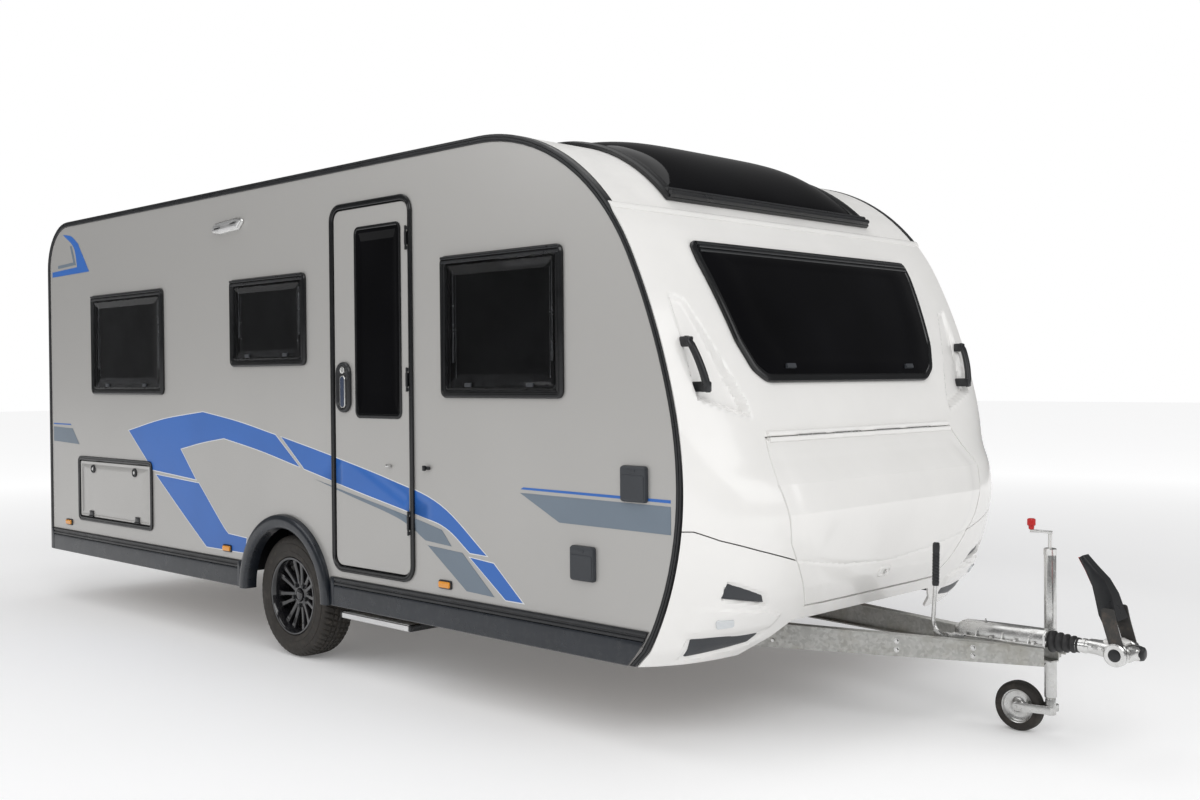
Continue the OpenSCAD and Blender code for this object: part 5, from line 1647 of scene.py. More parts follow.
def swoosh(runs):
    """A stripe's outline from smooth runs of points that meet at corners."""
    out = []
    start = runs[-1][-1]
    for run in runs:
        out.extend(smooth([(AXLE_X + x, z) for x, z in [start] + run])[:-1])
        start = run[-1]
    area = sum(p.x * q.y - q.x * p.y for p, q in zip(out, out[1:] + out[:1]))
    return out if area > 0 else out[::-1]


# Outlines as (x ahead of the axle, z). Each run starts where the one before it ends, and the
# first one where the last one ends.
STRIPES = [
    ("arch_stripe", "blue", [[(-1.3, 1.214), (-0.832, 1.263)], [(-0.45, 1.215), (-0.082, 1.153)],
                             [(0.142, 0.996)], [(-0.23, 1.066), (-0.605, 1.122)],
                             [(-0.85, 1.09), (-1.092, 1.048)], [(-0.919, 0.88)], [(-1.429, 0.912)],
                             [(-1.731, 1.139)]]),
    ("down_stripe", "blue", [[(-0.885, 0.86)], [(-0.64, 0.65), (-0.568, 0.599)], [(-0.378, 0.59)],
                             [(-0.399, 0.51)], [(-0.807, 0.509)],
                             [(-1.1, 0.695), (-1.391, 0.886)]]),
    ("long_stripe", "blue", [[(0.413, 1.065), (0.9, 0.97), (1.273, 0.873), (1.588, 0.673)],
                             [(1.477, 0.676)], [(1.311, 0.774), (1.104, 0.819), (0.65, 0.9),
                                                (0.184, 0.988)], [(-0.026, 1.144)]]),
    ("front_tail", "blue", [[(1.633, 0.644)], [(1.816, 0.496)], [(1.709, 0.496)],
                            [(1.476, 0.656)]]),
    ("long_shadow", "slate", [[(0.7, 0.868), (1.091, 0.8), (1.284, 0.762)], [(1.351, 0.694)],
                              [(1.166, 0.706)], [(0.98, 0.79), (0.6, 0.872), (0.276, 0.941)]]),
    ("tail_shadow", "slate", [[(1.424, 0.672)], [(1.638, 0.5)], [(1.453, 0.506)],
                              [(1.182, 0.685)]]),
    ("rear_line", "blue", [[(-2.554, 1.164)], [(-2.548, 1.156)], [(-2.815, 1.158)],
                           [(-2.815, 1.166)]]),
    ("rear_band", "slate", [[(-2.526, 1.135)], [(-2.426, 1.034)], [(-2.815, 1.047)],
                            [(-2.815, 1.142)]]),
    ("rear_arc", "blue", [[(-2.51, 2.385), (-2.411, 2.332)], [(-2.252, 2.141)], [(-2.804, 2.134)],
                          [(-2.804, 2.167)], [(-2.426, 2.18)], [(-2.474, 2.31), (-2.632, 2.404)]]),
    ("rear_chevron", "slate", [[(-2.505, 2.322)], [(-2.446, 2.195)], [(-2.715, 2.186)],
                               [(-2.715, 2.206)], [(-2.482, 2.214)], [(-2.53, 2.322)]]),
    ("front_line", "blue", [[(2.64, 0.977)], [(2.64, 0.965)], [(1.808, 0.973)], [(1.826, 0.982)]]),
    ("front_band", "slate", [[(2.64, 0.952)], [(2.64, 0.846)], [(2.041, 0.85)], [(1.804, 0.958)]]),
]
THROUGH_DOOR = ("long_stripe", "long_shadow")
OUTLINED = ("arch_stripe", "down_stripe", "long_stripe", "front_tail")


def cut_away(obj, x, keep_front):
    """Keep the part of a flat piece ahead of x, or behind it."""
    only(obj)
    bpy.ops.object.mode_set(mode="EDIT")
    bpy.ops.mesh.select_all(action="SELECT")
    bpy.ops.mesh.bisect(plane_co=(x, 0, 0), plane_no=(1, 0, 0), use_fill=True,
                        clear_inner=keep_front, clear_outer=not keep_front)
    bpy.ops.object.mode_set(mode="OBJECT")


def stripe_plate(name, outline, base, thick, place):
    return plate(name, outline, lambda u, v: place(u, v, base),
                 place(0, 0, thick) - place(0, 0, 0))


class CARAVAN_OT_stripes(bpy.types.Operator):
    """Lay the blue and grey vinyl stripes on both sides and over the door"""
    bl_idname = "caravan.stripes"
    bl_label = "Stripes"

    def execute(self, context):
        s = settings()
        frame_low, frame_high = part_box("door_frame")
        gap = s.door_frame + 0.006
        for name, tone, runs in STRIPES:
            outline = swoosh(runs)
            sheets = [(name, outline, tone, s.stripe_gap + 0.0003, s.stripe)]
            if name in OUTLINED:
                sheets.append((name + "_edge", inset(outline, -0.0045), "outline",
                               s.stripe_gap - 0.0001, 0.0003))
            for label, shape, mat, base, thick in sheets:
                for place, side in ((on_right, "right"), (on_left, "left")):
                    pieces = [stripe_plate("%s_%s" % (label, side), shape, base, thick, place)]
                    if name in THROUGH_DOOR and side == "right":
                        only(pieces[0])
                        ahead = stripe_plate(label + "_right_front", shape, base, thick, place)
                        on_leaf = stripe_plate(label + "_door", shape, base + 0.004, thick, place)
                        cut_away(pieces[0], frame_low.x - 0.0005, False)
                        cut_away(ahead, frame_high.x + 0.0005, True)
                        cut_away(on_leaf, frame_low.x + gap + 0.003, True)
                        cut_away(on_leaf, frame_high.x - gap - 0.003, False)
                        give(on_leaf, mat, "wall_silver", body="entrance_door")
                        pieces.append(ahead)
                    for piece in pieces:
                        give(piece, mat, "wall_silver")
        return {"FINISHED"}


# ---------------------------------------------------------------- wheels and step

TYRE_Y = (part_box("tyre_left")[0].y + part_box("tyre_left")[1].y) / 2
TYRE_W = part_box("tyre_left")[1].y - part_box("tyre_left")[0].y
TYRE_R = (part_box("tyre_left")[1].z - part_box("tyre_left")[0].z) / 2
RIM_R = (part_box("rim_left")[1].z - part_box("rim_left")[0].z) / 2
SPOKES = 7


def wheel_point(t, r, a):
    """t runs outwards from the tyre's middle plane, on the left wheel."""
    return Vector((AXLE_X + r * math.cos(a), TYRE_Y + t, AXLE_Z + r * math.sin(a)))


def tyre_piece():
    """Tyre with rounded shoulders, ribs along the tread and blocks cut across it."""
    w, r = TYRE_W / 2, TYRE_R
    cut = settings().tread
    half = [(-w + 0.0225, RIM_R + 0.0008, 0), (-w + 0.008, RIM_R + 0.004, 0),
            (-w + 0.003, RIM_R + 0.016, 0), (-w + 0.0005, RIM_R + 0.032, 0),
            (-w + 0.0022, RIM_R + 0.034, 0), (-w, r - 0.062, 0),
            (-w + 0.004, r - 0.044, 0), (-w + 0.0065, r - 0.043, 0), (-w + 0.008, r - 0.030, 0),
            (-w + 0.013, r - 0.020, 0.5), (-w + 0.020, r - 0.011, 1), (-w + 0.031, r - 0.004, 1),
            (-0.047, r - 0.001, 1), (-0.044, r - cut, 0), (-0.038, r - cut, 0),
            (-0.036, r - 0.0003, 0.8), (-0.018, r, 0.8), (-0.015, r - cut, 0),
            (-0.009, r - cut, 0), (-0.007, r, 0.4)]
    section = half + [(-t, q, k) for t, q, k in reversed(half)]
    section[-1] = (w - 0.022, RIM_R + 0.0008, 0)
    inner = [(w - 0.035, RIM_R - 0.0145, 0), (w - 0.046, r - 0.017, 0), (-w + 0.046, r - 0.017, 0),
             (-w + 0.042, RIM_R - 0.0145, 0), (-w + 0.027, RIM_R - 0.0145, 0)]
    section += inner
    count = 240
    rows = []
    for i in range(count):
        a = 2 * math.pi * i / count
        groove = i % 4 == 3
        row = []
        for t, q, depth in section:
            skew = 0.10 * t / w
            drop = cut * depth if groove else 0.0
            row.append(wheel_point(t, q - drop, a + skew))
        rows.append(row)
    return surface("tyre_left_tread", rows, True, True, angle=28)


def spoke_piece(a0, lean):
    """One spoke from the hub to the rim, leaning away from its pair."""
    rows = []
    for k in range(9):
        t = k / 8
        r = 0.052 + (RIM_R - 0.020 - 0.052) * t
        a = a0 + lean * (0.20 - 0.03 * t)
        wide = 0.0150 - 0.0020 * math.sin(math.pi * t) + 0.004 * t ** 4
        face = 0.040 + 0.018 * t ** 1.6 if t < 0.95 else 0.056
        back = face - 0.030 + 0.006 * t
        mid = wheel_point(0, r, a)
        side = Vector((-math.sin(a), 0, math.cos(a)))
        ring = []
        for u, v in ((-1, 0.35), (-0.82, 0.85), (-0.55, 1.0), (0.55, 1.0), (0.82, 0.85), (1, 0.35),
                     (0.85, 0.0), (-0.85, 0.0)):
            ring.append(mid + side * wide * u + Vector((0, back + (face - back) * v, 0)))
        rows.append(ring)
    return capped("spoke", rows, 35)


def bolt_head(name, place, direction, size, height=0.010, washer=True):
    """Hexagon bolt head on its washer."""
    profile = [(0, size * 0.62), (height * 0.85, size * 0.62), (height, size * 0.5)]
    head = turned(name, place, direction, profile, 6, 25)
    if not washer:
        return head
    base = turned(name + "_washer", place, direction,
                  [(0, size * 0.82), (0.0022, size * 0.82), (0.0026, size * 0.76)], 16)
    return join(name, [head, base], 25)


def rim_piece():
    w = TYRE_W / 2
    r = RIM_R
    barrel = [(-w + 0.014, r - 0.026), (-w + 0.014, r - 0.0005), (-w + 0.022, r - 0.0005),
              (-w + 0.027, r - 0.0165), (w - 0.036, r - 0.0165), (w - 0.0235, r - 0.0008),
              (w - 0.0105, r - 0.0005), (w - 0.0085, r - 0.002), (w - 0.008, r - 0.006),
              (w - 0.010, r - 0.012), (w - 0.016, r - 0.016), (w - 0.038, r - 0.021),
              (w - 0.052, r - 0.024), (-0.02, r - 0.026)]
    pieces = [turned("barrel", (AXLE_X, TYRE_Y, AXLE_Z), (0, 1, 0), barrel, 96, 30, False)]
    hub = [(-0.0295, 0.034), (-0.0295, 0.077), (0.004, 0.079), (0.026, 0.074), (0.036, 0.067),
           (0.040, 0.058), (0.040, 0.036), (0.036, 0.034)]
    pieces.append(turned("disc", (AXLE_X, TYRE_Y, AXLE_Z), (0, 1, 0), hub, 64, 30, False))
    for i in range(SPOKES):
        a = math.pi / 2 + 2 * math.pi * i / SPOKES
        pieces.append(spoke_piece(a, 1))
        pieces.append(spoke_piece(a, -1))
    return join("rim_left_spokes", pieces, 30)


class CARAVAN_OT_wheels(bpy.types.Operator):
    """Model the tyres with their tread, the spoked rims, bolts, valves and caps"""
    bl_idname = "caravan.wheels"
    bl_label = "Wheels"

    def execute(self, context):
        tyre = tyre_piece()
        rim = rim_piece()
        bolts = []
        for i in range(5):
            a = math.pi / 2 + 2 * math.pi * (i + 0.5) / 5
            bolts.append(bolt_head("bolt", wheel_point(0.0395, 0.056, a), (0, 1, 0), 0.017, 0.012))
        valve = rod("valve", wheel_point(0.052, RIM_R - 0.030, 0.6),
                    wheel_point(0.080, RIM_R - 0.038, 0.6), 0.004)
        bolts = join("rim_left_bolts", bolts + [valve], 28)
        cap = turned("rim_left_cap", (AXLE_X, TYRE_Y + 0.030, AXLE_Z), (0, 1, 0),
                     [(0, 0.0325), (0.012, 0.0325), (0.017, 0.030), (0.0185, 0.026),
                      (0.0175, 0.0235), (0.0195, 0.016), (0.020, 0.008)], 48)
        for piece, mat, slot_name, node in ((tyre, "rubber", "tyre_rubber", "tyre_"),
                                            (rim, "rim", "rim_black", "rim_"),
                                            (bolts, "black", "rim_black", None),
                                            (cap, "rim", "rim_black", None)):
            copy = mirrored(piece, piece.name.replace("left", "right"))
            give(piece, mat, slot_name, *([node + "left"] if node else ()), body="wheel_left")
            give(copy, mat, slot_name, *([node + "right"] if node else ()), body="wheel_right")
        return {"FINISHED"}


class CARAVAN_OT_step(bpy.types.Operator):
    """Model the sliding step: ribbed tread, end caps and bars"""
    bl_idname = "caravan.step"
    bl_label = "Entrance step"

    def execute(self, context):
        low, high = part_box("entrance_step")
        x0, x1, y0 = low.x, high.x, low.y
        z0 = low.z
        y1 = y0 + 0.254
        top = z0 + 0.032
        section = [(y1, z0 + 0.004), (y0 + 0.004, z0 + 0.001), (y0, z0 + 0.005), (y0, top - 0.006)]
        for k in range(14):
            a = y0 + 0.006 + k * 0.0174
            section += [(a, top - 0.003), (a + 0.002, top), (a + 0.011, top),
                        (a + 0.013, top - 0.003)]
        section += [(y1, top - 0.004)]
        rows = [[Vector((x, y, z)) for y, z in section] for x in (x0 + 0.016, x1 - 0.016)]
        give(capped("step_tread", rows, 20), "brushed", "step_alu", "entrance_step",
             body="entrance_step")
        ends = [block("end", (x, y0 + 0.0008, z0 + 0.0004), (x + 0.017, y1 + 0.001, top - 0.0003),
                      0.005) for x in (x0, x1 - 0.017)]
        give(join("step_end_caps", ends), "black", "trim_black", body="entrance_step")
        bars = []
        for x in (x0 + 0.040, x1 - 0.070):
            bars.append(block("bar", (x, y0 + 0.114, z0 + 0.0315),
                              (x + 0.030, y0 + 0.554, z0 + 0.050),
                              0.003))
        give(join("step_bars", bars), "zinc", "step_alu", body="entrance_step")
        return {"FINISHED"}


# ---------------------------------------------------------------- hitch

BALL_X = TIP_X - 0.086
BALL_Z = 0.397
BEAM_TOP = 0.384
BEAM_X1 = TIP_X - 0.360


def slab_y(name, outline, y0, y1, bevel=0.002, angle=32):
    """An upright plate with an outline of (x, z) pairs, between two places across."""
    return plate(name, outline, lambda u, v: Vector((u, y0, v)), (0, y1 - y0, 0), bevel,
                 angle=angle)


class CARAVAN_OT_coupling(bpy.types.Operator):
    """Model the coupling: overrun housing, bellows, head, friction discs and stabiliser handle"""
    bl_idname = "caravan.coupling"
    bl_label = "Coupling and overrun housing"

    def execute(self, context):
        x0, x1 = TIP_X - 0.755, BEAM_X1
        pieces = [block("base", (x0, -0.058, BEAM_TOP + SEAT), (x1, 0.058, BEAM_TOP + 0.008),
                        0.002)]
        tunnel = []
        for x, half, top in ((x0, 0.030, 0.040), (x0 + 0.03, 0.039, 0.058),
                             (x0 + 0.18, 0.040, 0.061),
                             (x1 - 0.10, 0.040, 0.0615), (x1 - 0.012, 0.040, 0.0615)):
            tunnel.append([Vector((x, half * u, BEAM_TOP + 0.006 + (top - 0.006) * v)) for u, v in
                           both_ways([(-1, 0), (-1, 0.55), (-0.86, 0.86), (-0.55, 1)])])
        pieces.append(capped("tunnel", tunnel))
        flange = rounded([(-0.058, BEAM_TOP + 0.001), (0.058, BEAM_TOP + 0.001),
                          (0.058, BEAM_TOP + 0.048), (0.036, BEAM_TOP + 0.062),
                          (-0.036, BEAM_TOP + 0.062), (-0.058, BEAM_TOP + 0.048)], 0.006, 3)
        pieces.append(plate("flange", flange,
                            lambda u, v: Vector((x1 - 0.010, u, v)), (0.010, 0, 0), 0.0015))
        for x in (x0 + 0.10, x0 + 0.21, x0 + 0.32):
            for s in (-1, 1):
                rib = [(s * 0.038, BEAM_TOP + 0.006), (s * 0.056, BEAM_TOP + 0.006),
                       (s * 0.038, BEAM_TOP + 0.040)]
                pieces.append(plate("rib", rib if s > 0 else rib[::-1],
                                    lambda u, v, x=x: Vector((x, u, v)), (0.006, 0, 0), 0.0008))
        bracket = block("brake_bracket", (x0 - 0.037, -0.0675, BEAM_TOP - 0.050),
                        (x0 + 0.060, -0.060, BEAM_TOP + 0.008), 0.002)
        give(join("housing_casting", pieces + [bracket]), "bright", "zinc_steel",
             "coupling_housing")
        bolts = []
        size = settings().bolt
        for x in (x0 + 0.055, x0 + 0.165, x0 + 0.265, x1 - 0.055):
            for s in (-1, 1):
                bolts.append(bolt_head("bolt", (x, s * 0.049, BEAM_TOP + 0.0075), (0, 0, 1),
                                       size * 0.8))
        for s in (-1, 1):
            for z in (BEAM_TOP + 0.020, BEAM_TOP + 0.046):
                bolts.append(bolt_head("bolt", (x1 - 0.0002, s * 0.047, z), (1, 0, 0), 0.010, 0.002,
                                       False))
        bolts.append(turned("grease", (x0 + 0.12, 0, BEAM_TOP + 0.0605), (0, 0, 1),
                            [(0, 0.006), (0.005, 0.006), (0.007, 0.003), (0.012, 0.0035)], 12))
        give(join("housing_bolts", bolts, 25), "bright", "zinc_steel")

        axis_z = BALL_Z + 0.006
        start = BEAM_X1 + 0.0003
        profile = [(0, 0.040), (0.003, 0.042)]
        for k in range(4):
            base, r = 0.027 * k, 0.042 - 0.003 * k
            profile += [(base + 0.006, r), (base + 0.013, r), (base + 0.020, r - 0.008),
                        (base + 0.0245, r - 0.0115)]
            if k < 3:
                profile += [(base + 0.027, r - 0.006)]
        profile += [(0.104, 0.0285), (0.112, 0.0285), (0.113, 0.0262)]
        give(turned("bellows", (start, 0, axis_z), (1, 0, 0), profile, 48, 60), "soft_black",
             "zinc_steel")
        head = [rod("tube", (start + 0.10, 0, axis_z), (start + 0.236, 0, axis_z), 0.026, 0.002,
                    40)]
        rows = []
        low_z, top_z = BALL_Z - 0.022, BALL_Z + 0.034
        for x, half, lo, hi in ((start + 0.150, 0.024, 0.010, 0.0),
                                (start + 0.185, 0.028, 0.006, 0.0),
                                (start + 0.220, 0.036, 0.0, 0.0), (BALL_X - 0.02, 0.036, 0.0, 0.0),
                                (BALL_X + 0.03, 0.036, 0.0, 0.0),
                                (TIP_X - 0.022, 0.032, 0.004, 0.003),
                                (TIP_X - 0.012, 0.024, 0.008, 0.008)):
            z_lo, z_hi = low_z + lo, top_z - hi
            ring = []
            for u, v in both_ways([(-0.8, 0), (-1, 0.15), (-1, 0.75), (-0.85, 0.93), (-0.6, 1)]):
                ring.append(Vector((x, half * u, z_lo + (z_hi - z_lo) * v)))
            rows.append(ring)
        head.append(capped("cast_head", rows, 35))
        for x in (start + 0.125, start + 0.215):
            head.append(turned("collar", (x, 0, axis_z), (1, 0, 0),
                               [(0, 0.024), (0.002, 0.0285), (0.014, 0.0285), (0.016, 0.026)], 40))
        head_piece = join("coupling_casting", head, 32)
        give(head_piece, "bright", "zinc_steel", "coupling_head")
        nose = turned("coupling_nose", (TIP_X - 0.036, 0, axis_z), (1, 0, 0),
                      [(0, 0.027), (0.020, 0.0275), (0.030, 0.025), (0.0345, 0.019),
                       (0.0358, 0.010)],
                      40)
        give(nose, "black", "zinc_steel")
        discs, centres = [], []
        for s in (-1, 1):
            discs.append(turned("disc", (BALL_X, s * 0.0355, BALL_Z), (0, s, 0),
                                [(0, 0.040), (0.003, 0.044), (0.016, 0.044), (0.019, 0.041),
                                 (0.0195, 0.030)], 48))
            centres.append(turned("centre", (BALL_X, s * 0.0545, BALL_Z), (0, s, 0),
                                  [(0, 0.028), (0.0012, 0.028), (0.0015, 0.025)], 40))
        for k in range(2):
            x = start + 0.165 + 0.040 * k
            discs.append(bolt_head("bolt", (x, -0.027 - 0.005 * k, axis_z + 0.002), (0, -1, 0),
                                   0.015,
                                   0.009))
        give(join("friction_discs", discs, 28), "bright", "zinc_steel")
        give(join("friction_centres", centres), "black", "zinc_steel")
        lever = [(BALL_X - 0.060, BALL_Z + 0.030), (BALL_X + 0.020, BALL_Z + 0.030),
                 (BALL_X + 0.024, BALL_Z + 0.044), (BALL_X - 0.002, BALL_Z + 0.053),
                 (BALL_X - 0.052, BALL_Z + 0.050), (BALL_X - 0.062, BALL_Z + 0.042)]
        line = rounded(lever, 0.008, 3)
        give(slab_y("coupling_lever", line[::-1], -0.026, 0.026, 0.003), "white", "zinc_steel")

        cheeks, caps, hearts = [], [], []
        for s in (-1, 1):
            outline = rounded([(BALL_X - 0.022, BALL_Z - 0.016), (BALL_X + 0.022, BALL_Z - 0.016),
                               (BALL_X + 0.030, BALL_Z + 0.030), (BALL_X + 0.006, BALL_Z + 0.115),
                               (BALL_X - 0.006, BALL_Z + 0.170), (BALL_X - 0.052, BALL_Z + 0.170),
                               (BALL_X - 0.050, BALL_Z + 0.120), (BALL_X - 0.022, BALL_Z + 0.030)],
                              0.010, 3)
            cheeks.append(slab_y("cheek", outline, s * 0.0568, s * 0.0652, 0.0015))
            caps.append(turned("cap", (BALL_X, s * 0.0640, BALL_Z), (0, s, 0),
                               [(0, 0.043), (0.005, 0.043), (0.0085, 0.038), (0.0085, 0.024),
                                (0.006, 0.022)], 48))
            hearts.append(turned("heart", (BALL_X, s * 0.0690, BALL_Z), (0, s, 0),
                                 [(0, 0.0225), (0.004, 0.0225), (0.006, 0.018)], 36))
        give(join("stabiliser_cheeks", cheeks), "cast", "zinc_steel", "stabiliser_lever",
             body="stabiliser_lever")
        give(join("stabiliser_caps", caps), "bright", "zinc_steel", body="stabiliser_lever")
        give(join("stabiliser_hearts", hearts), "black", "zinc_steel", body="stabiliser_lever")
        spine = [(0.000, 0.112, 0.056), (-0.018, 0.150, 0.050), (-0.034, 0.205, 0.040),
                 (-0.056, 0.255, 0.032), (-0.092, 0.305, 0.030), (-0.124, 0.348, 0.028)]
        rows = []
        for i, (dx, dz, half) in enumerate(spine):
            before, after = spine[max(0, i - 1)], spine[min(len(spine) - 1, i + 1)]
            d = Vector((after[0] - before[0], 0, after[1] - before[1])).normalized()
            across = Vector((d.z, 0, -d.x))
            thick = (0.030, 0.033, 0.033, 0.027, 0.016, 0.010)[i]
            mid = Vector((BALL_X - 0.022 + dx, 0, BALL_Z + dz))
            rows.append([mid + Vector((0, half * u, 0)) + across * thick * v for u, v in
                         ((-1, -0.5), (-1, 0.5), (-0.85, 1), (0.85, 1), (1, 0.5), (1, -0.5),
                          (0.85, -1), (-0.85, -1))])
        give(capped("stabiliser_handle", rows, 40), "black", "trim_black", body="stabiliser_lever")
        rows = []
        for i in (3, 4, 5):
            dx, dz, half = spine[i]
            thick = (0.027, 0.016, 0.010)[i - 3]
            mid = Vector((BALL_X - 0.022 + dx - thick * 0.86, 0, BALL_Z + dz - thick * 0.42))
            rows.append([mid + Vector((u, v, 0)) for u, v in
                         ((-0.004, -half * 0.7), (0.004, -half * 0.7), (0.004, half * 0.7),
                          (-0.004, half * 0.7))])
        give(capped("stabiliser_accent", rows), "knob", "trim_black", body="stabiliser_lever")
        return {"FINISHED"}


class CARAVAN_OT_handbrake(bpy.types.Operator):
    """Model the handbrake lever: bent rod, ribbed grip and pivot"""
    bl_idname = "caravan.handbrake"
    bl_label = "Handbrake lever"

    def execute(self, context):
        px, py, pz = TIP_X - 0.768, -0.090, BEAM_TOP - 0.024
        arm = [(px, py, pz), (px - 0.030, py, pz + 0.036), (px - 0.051, py, pz + 0.068),
               (px - 0.040, py, pz + 0.222)]
        pieces = [pipe("arm", arm, 0.0085),
                  rod("pivot", (px, py - 0.0218, pz), (px, py + 0.0218, pz), 0.012, 0.0015, 32)]
        quadrant = [(px - 0.018, pz - 0.004), (px + 0.018, pz - 0.004), (px + 0.014, pz + 0.012),
                    (px - 0.040, pz + 0.054), (px - 0.052, pz + 0.040)]
        pieces.append(slab_y("quadrant", quadrant, py - 0.0085, py + 0.0005, 0.0012))
        pieces.append(bolt_head("bolt", (px, py - 0.020, pz), (0, -1, 0), 0.013, 0.008, False))
        give(join("handbrake_arm", pieces), "bright", "zinc_steel", "handbrake_lever",
             body="handbrake_lever")
        start = Vector((px - 0.039, py, pz + 0.222))
        along = Vector((0.004, 0, 0.178))
        profile = [(0, 0.0125)]
        for k in range(10):
            base = 0.010 + 0.0125 * k
            profile += [(base, 0.0145), (base + 0.008, 0.0148), (base + 0.010, 0.0130)]
        profile += [(0.140, 0.0145), (0.160, 0.0148), (0.172, 0.0135), (0.176, 0.010)]
        give(turned("handbrake_grip", start, along, profile, 24, 25), "black", "trim_black",
             body="handbrake_lever")
        return {"FINISHED"}


JOCKEY_X = TIP_X - 0.418
JOCKEY_Y = (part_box("jockey_tube")[0].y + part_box("jockey_tube")[1].y) / 2
TRAIL = 0.130


class CARAVAN_OT_jockey(bpy.types.Operator):
    """Model the jockey wheel: clamp, tube, crank with its knob, fork and wheel"""
    bl_idname = "caravan.jockey"
    bl_label = "Jockey wheel"

    def execute(self, context):
        x, y = JOCKEY_X, JOCKEY_Y
        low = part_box("jockey_clamp")[0]
        clamp = [turned("collar", (x, y, 0.306), (0, 0, 1),
                        [(0, 0.0244), (0, 0.029), (0.001, 0.030), (0.061, 0.030), (0.062, 0.029),
                         (0.062, 0.0244)], 40, 32, False),
                 block("bracket", (x - 0.020, low.y, 0.312), (x + 0.020, y - 0.027, 0.362), 0.003),
                 block("ear", (x + 0.027, y - 0.006, 0.316), (x + 0.037, y + 0.018, 0.358), 0.002),
                 rod("screw", (x + 0.026, y + 0.006, 0.337), (x + 0.060, y + 0.006, 0.337), 0.0065)]
        give(join("clamp_casting", clamp), "zinc", "zinc_steel", "jockey_clamp")
        tube = [turned("tube", (x, y, 0.156), (0, 0, 1),
                       [(0.0, 0.0205), (0.0, 0.0235), (0.0008, 0.024), (0.588, 0.024),
                        (0.590, 0.023), (0.590, 0.010), (0.586, 0.009), (0.586, 0.0205)], 40, 32,
                       False),
                turned("collar", (x, y, 0.720), (0, 0, 1),
                       [(0, 0.0240), (0.001, 0.0255), (0.024, 0.0255), (0.027, 0.022),
                        (0.029, 0.010)], 40),
                rod("spindle", (x, y, 0.745), (x, y, 0.806), 0.008, 0.001, 24)]
        tube.append(plate("crank", rounded(rect(x - 0.084, y - 0.006, x + 0.010, y + 0.006), 0.0055,
                                           4),
                          lambda u, v: Vector((u, v, 0.804)), (0, 0, 0.012), 0.0015))
        give(join("jockey_tube_steel", tube), "bright", "zinc_steel", "jockey_tube",
             body="jockey_tube")
        give(turned("jockey_knob", (x - 0.078, y, 0.8165), (0, 0, 1),
                    [(0, 0.0095), (0.001, 0.0105), (0.013, 0.0115), (0.015, 0.0145),
                     (0.017, 0.0165), (0.038, 0.0165), (0.042, 0.0145), (0.0435, 0.010)], 28),
                     "knob", "lamp_red", body="jockey_tube")
        fork = [turned("collar", (x, y, 0.0842), (0, 0, 1),
                       [(0, 0.018), (0.002, 0.021), (0.060, 0.021), (0.0650, 0.019)], 36)]
        wheel_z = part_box("jockey_wheel")[1].z / 2
        for s in (-1, 1):
            y0 = y + s * 0.034
            outline = rounded([(x - 0.018, 0.124), (x - TRAIL, 0.117), (x - TRAIL - 0.014, 0.110),
                               (x - TRAIL - 0.014, 0.092), (x - TRAIL, 0.084), (x + 0.018, 0.092),
                               (x + 0.018, 0.124)], 0.006, 3)
            fork.append(slab_y("arm", outline, y0 - 0.003, y0 + 0.003, 0.001))
            fork.append(bolt_head("nut", (x - TRAIL, y0 + s * 0.003, wheel_z), (0, s, 0), 0.011,
                                  0.0015, False))
        fork.append(block("bridge", (x - 0.014, y - 0.0365, 0.0945),
                          (x + 0.0175, y + 0.0365, 0.1215),
                          0.003))
        fork.append(rod("axle", (x - TRAIL, y - 0.0375, wheel_z), (x - TRAIL, y + 0.0375, wheel_z),
                        0.0058, 0.0005, 20))
        give(join("fork_steel", fork), "bright", "zinc_steel", "jockey_fork", body="jockey_fork")
        hub = (x - TRAIL, y, wheel_z)
        r = wheel_z
        tread = both_ways([(-0.016, r - 0.036), (-0.024, r - 0.031), (-0.025, r - 0.028),
                           (-0.025, r - 0.012), (-0.021, r - 0.004), (-0.0125, r), (-0.003, r),
                           (-0.002, r - 0.0015)])
        give(turned("jockey_tyre", hub, (0, 1, 0), tread, 72, 25, False), "rubber", "tyre_rubber",
             "jockey_wheel", body="jockey_wheel")
        disc = both_ways([(-0.028, 0.0062), (-0.028, 0.019), (-0.017, 0.023), (-0.012, 0.030),
                          (-0.010, 0.045), (-0.0158, r - 0.040), (-0.022, r - 0.0365),
                          (-0.0235, r - 0.033), (-0.0160, r - 0.0365)])
        give(turned("jockey_rim", hub, (0, 1, 0), disc, 48, 30, False), "bright", "zinc_steel",
             body="jockey_wheel")
        return {"FINISHED"}


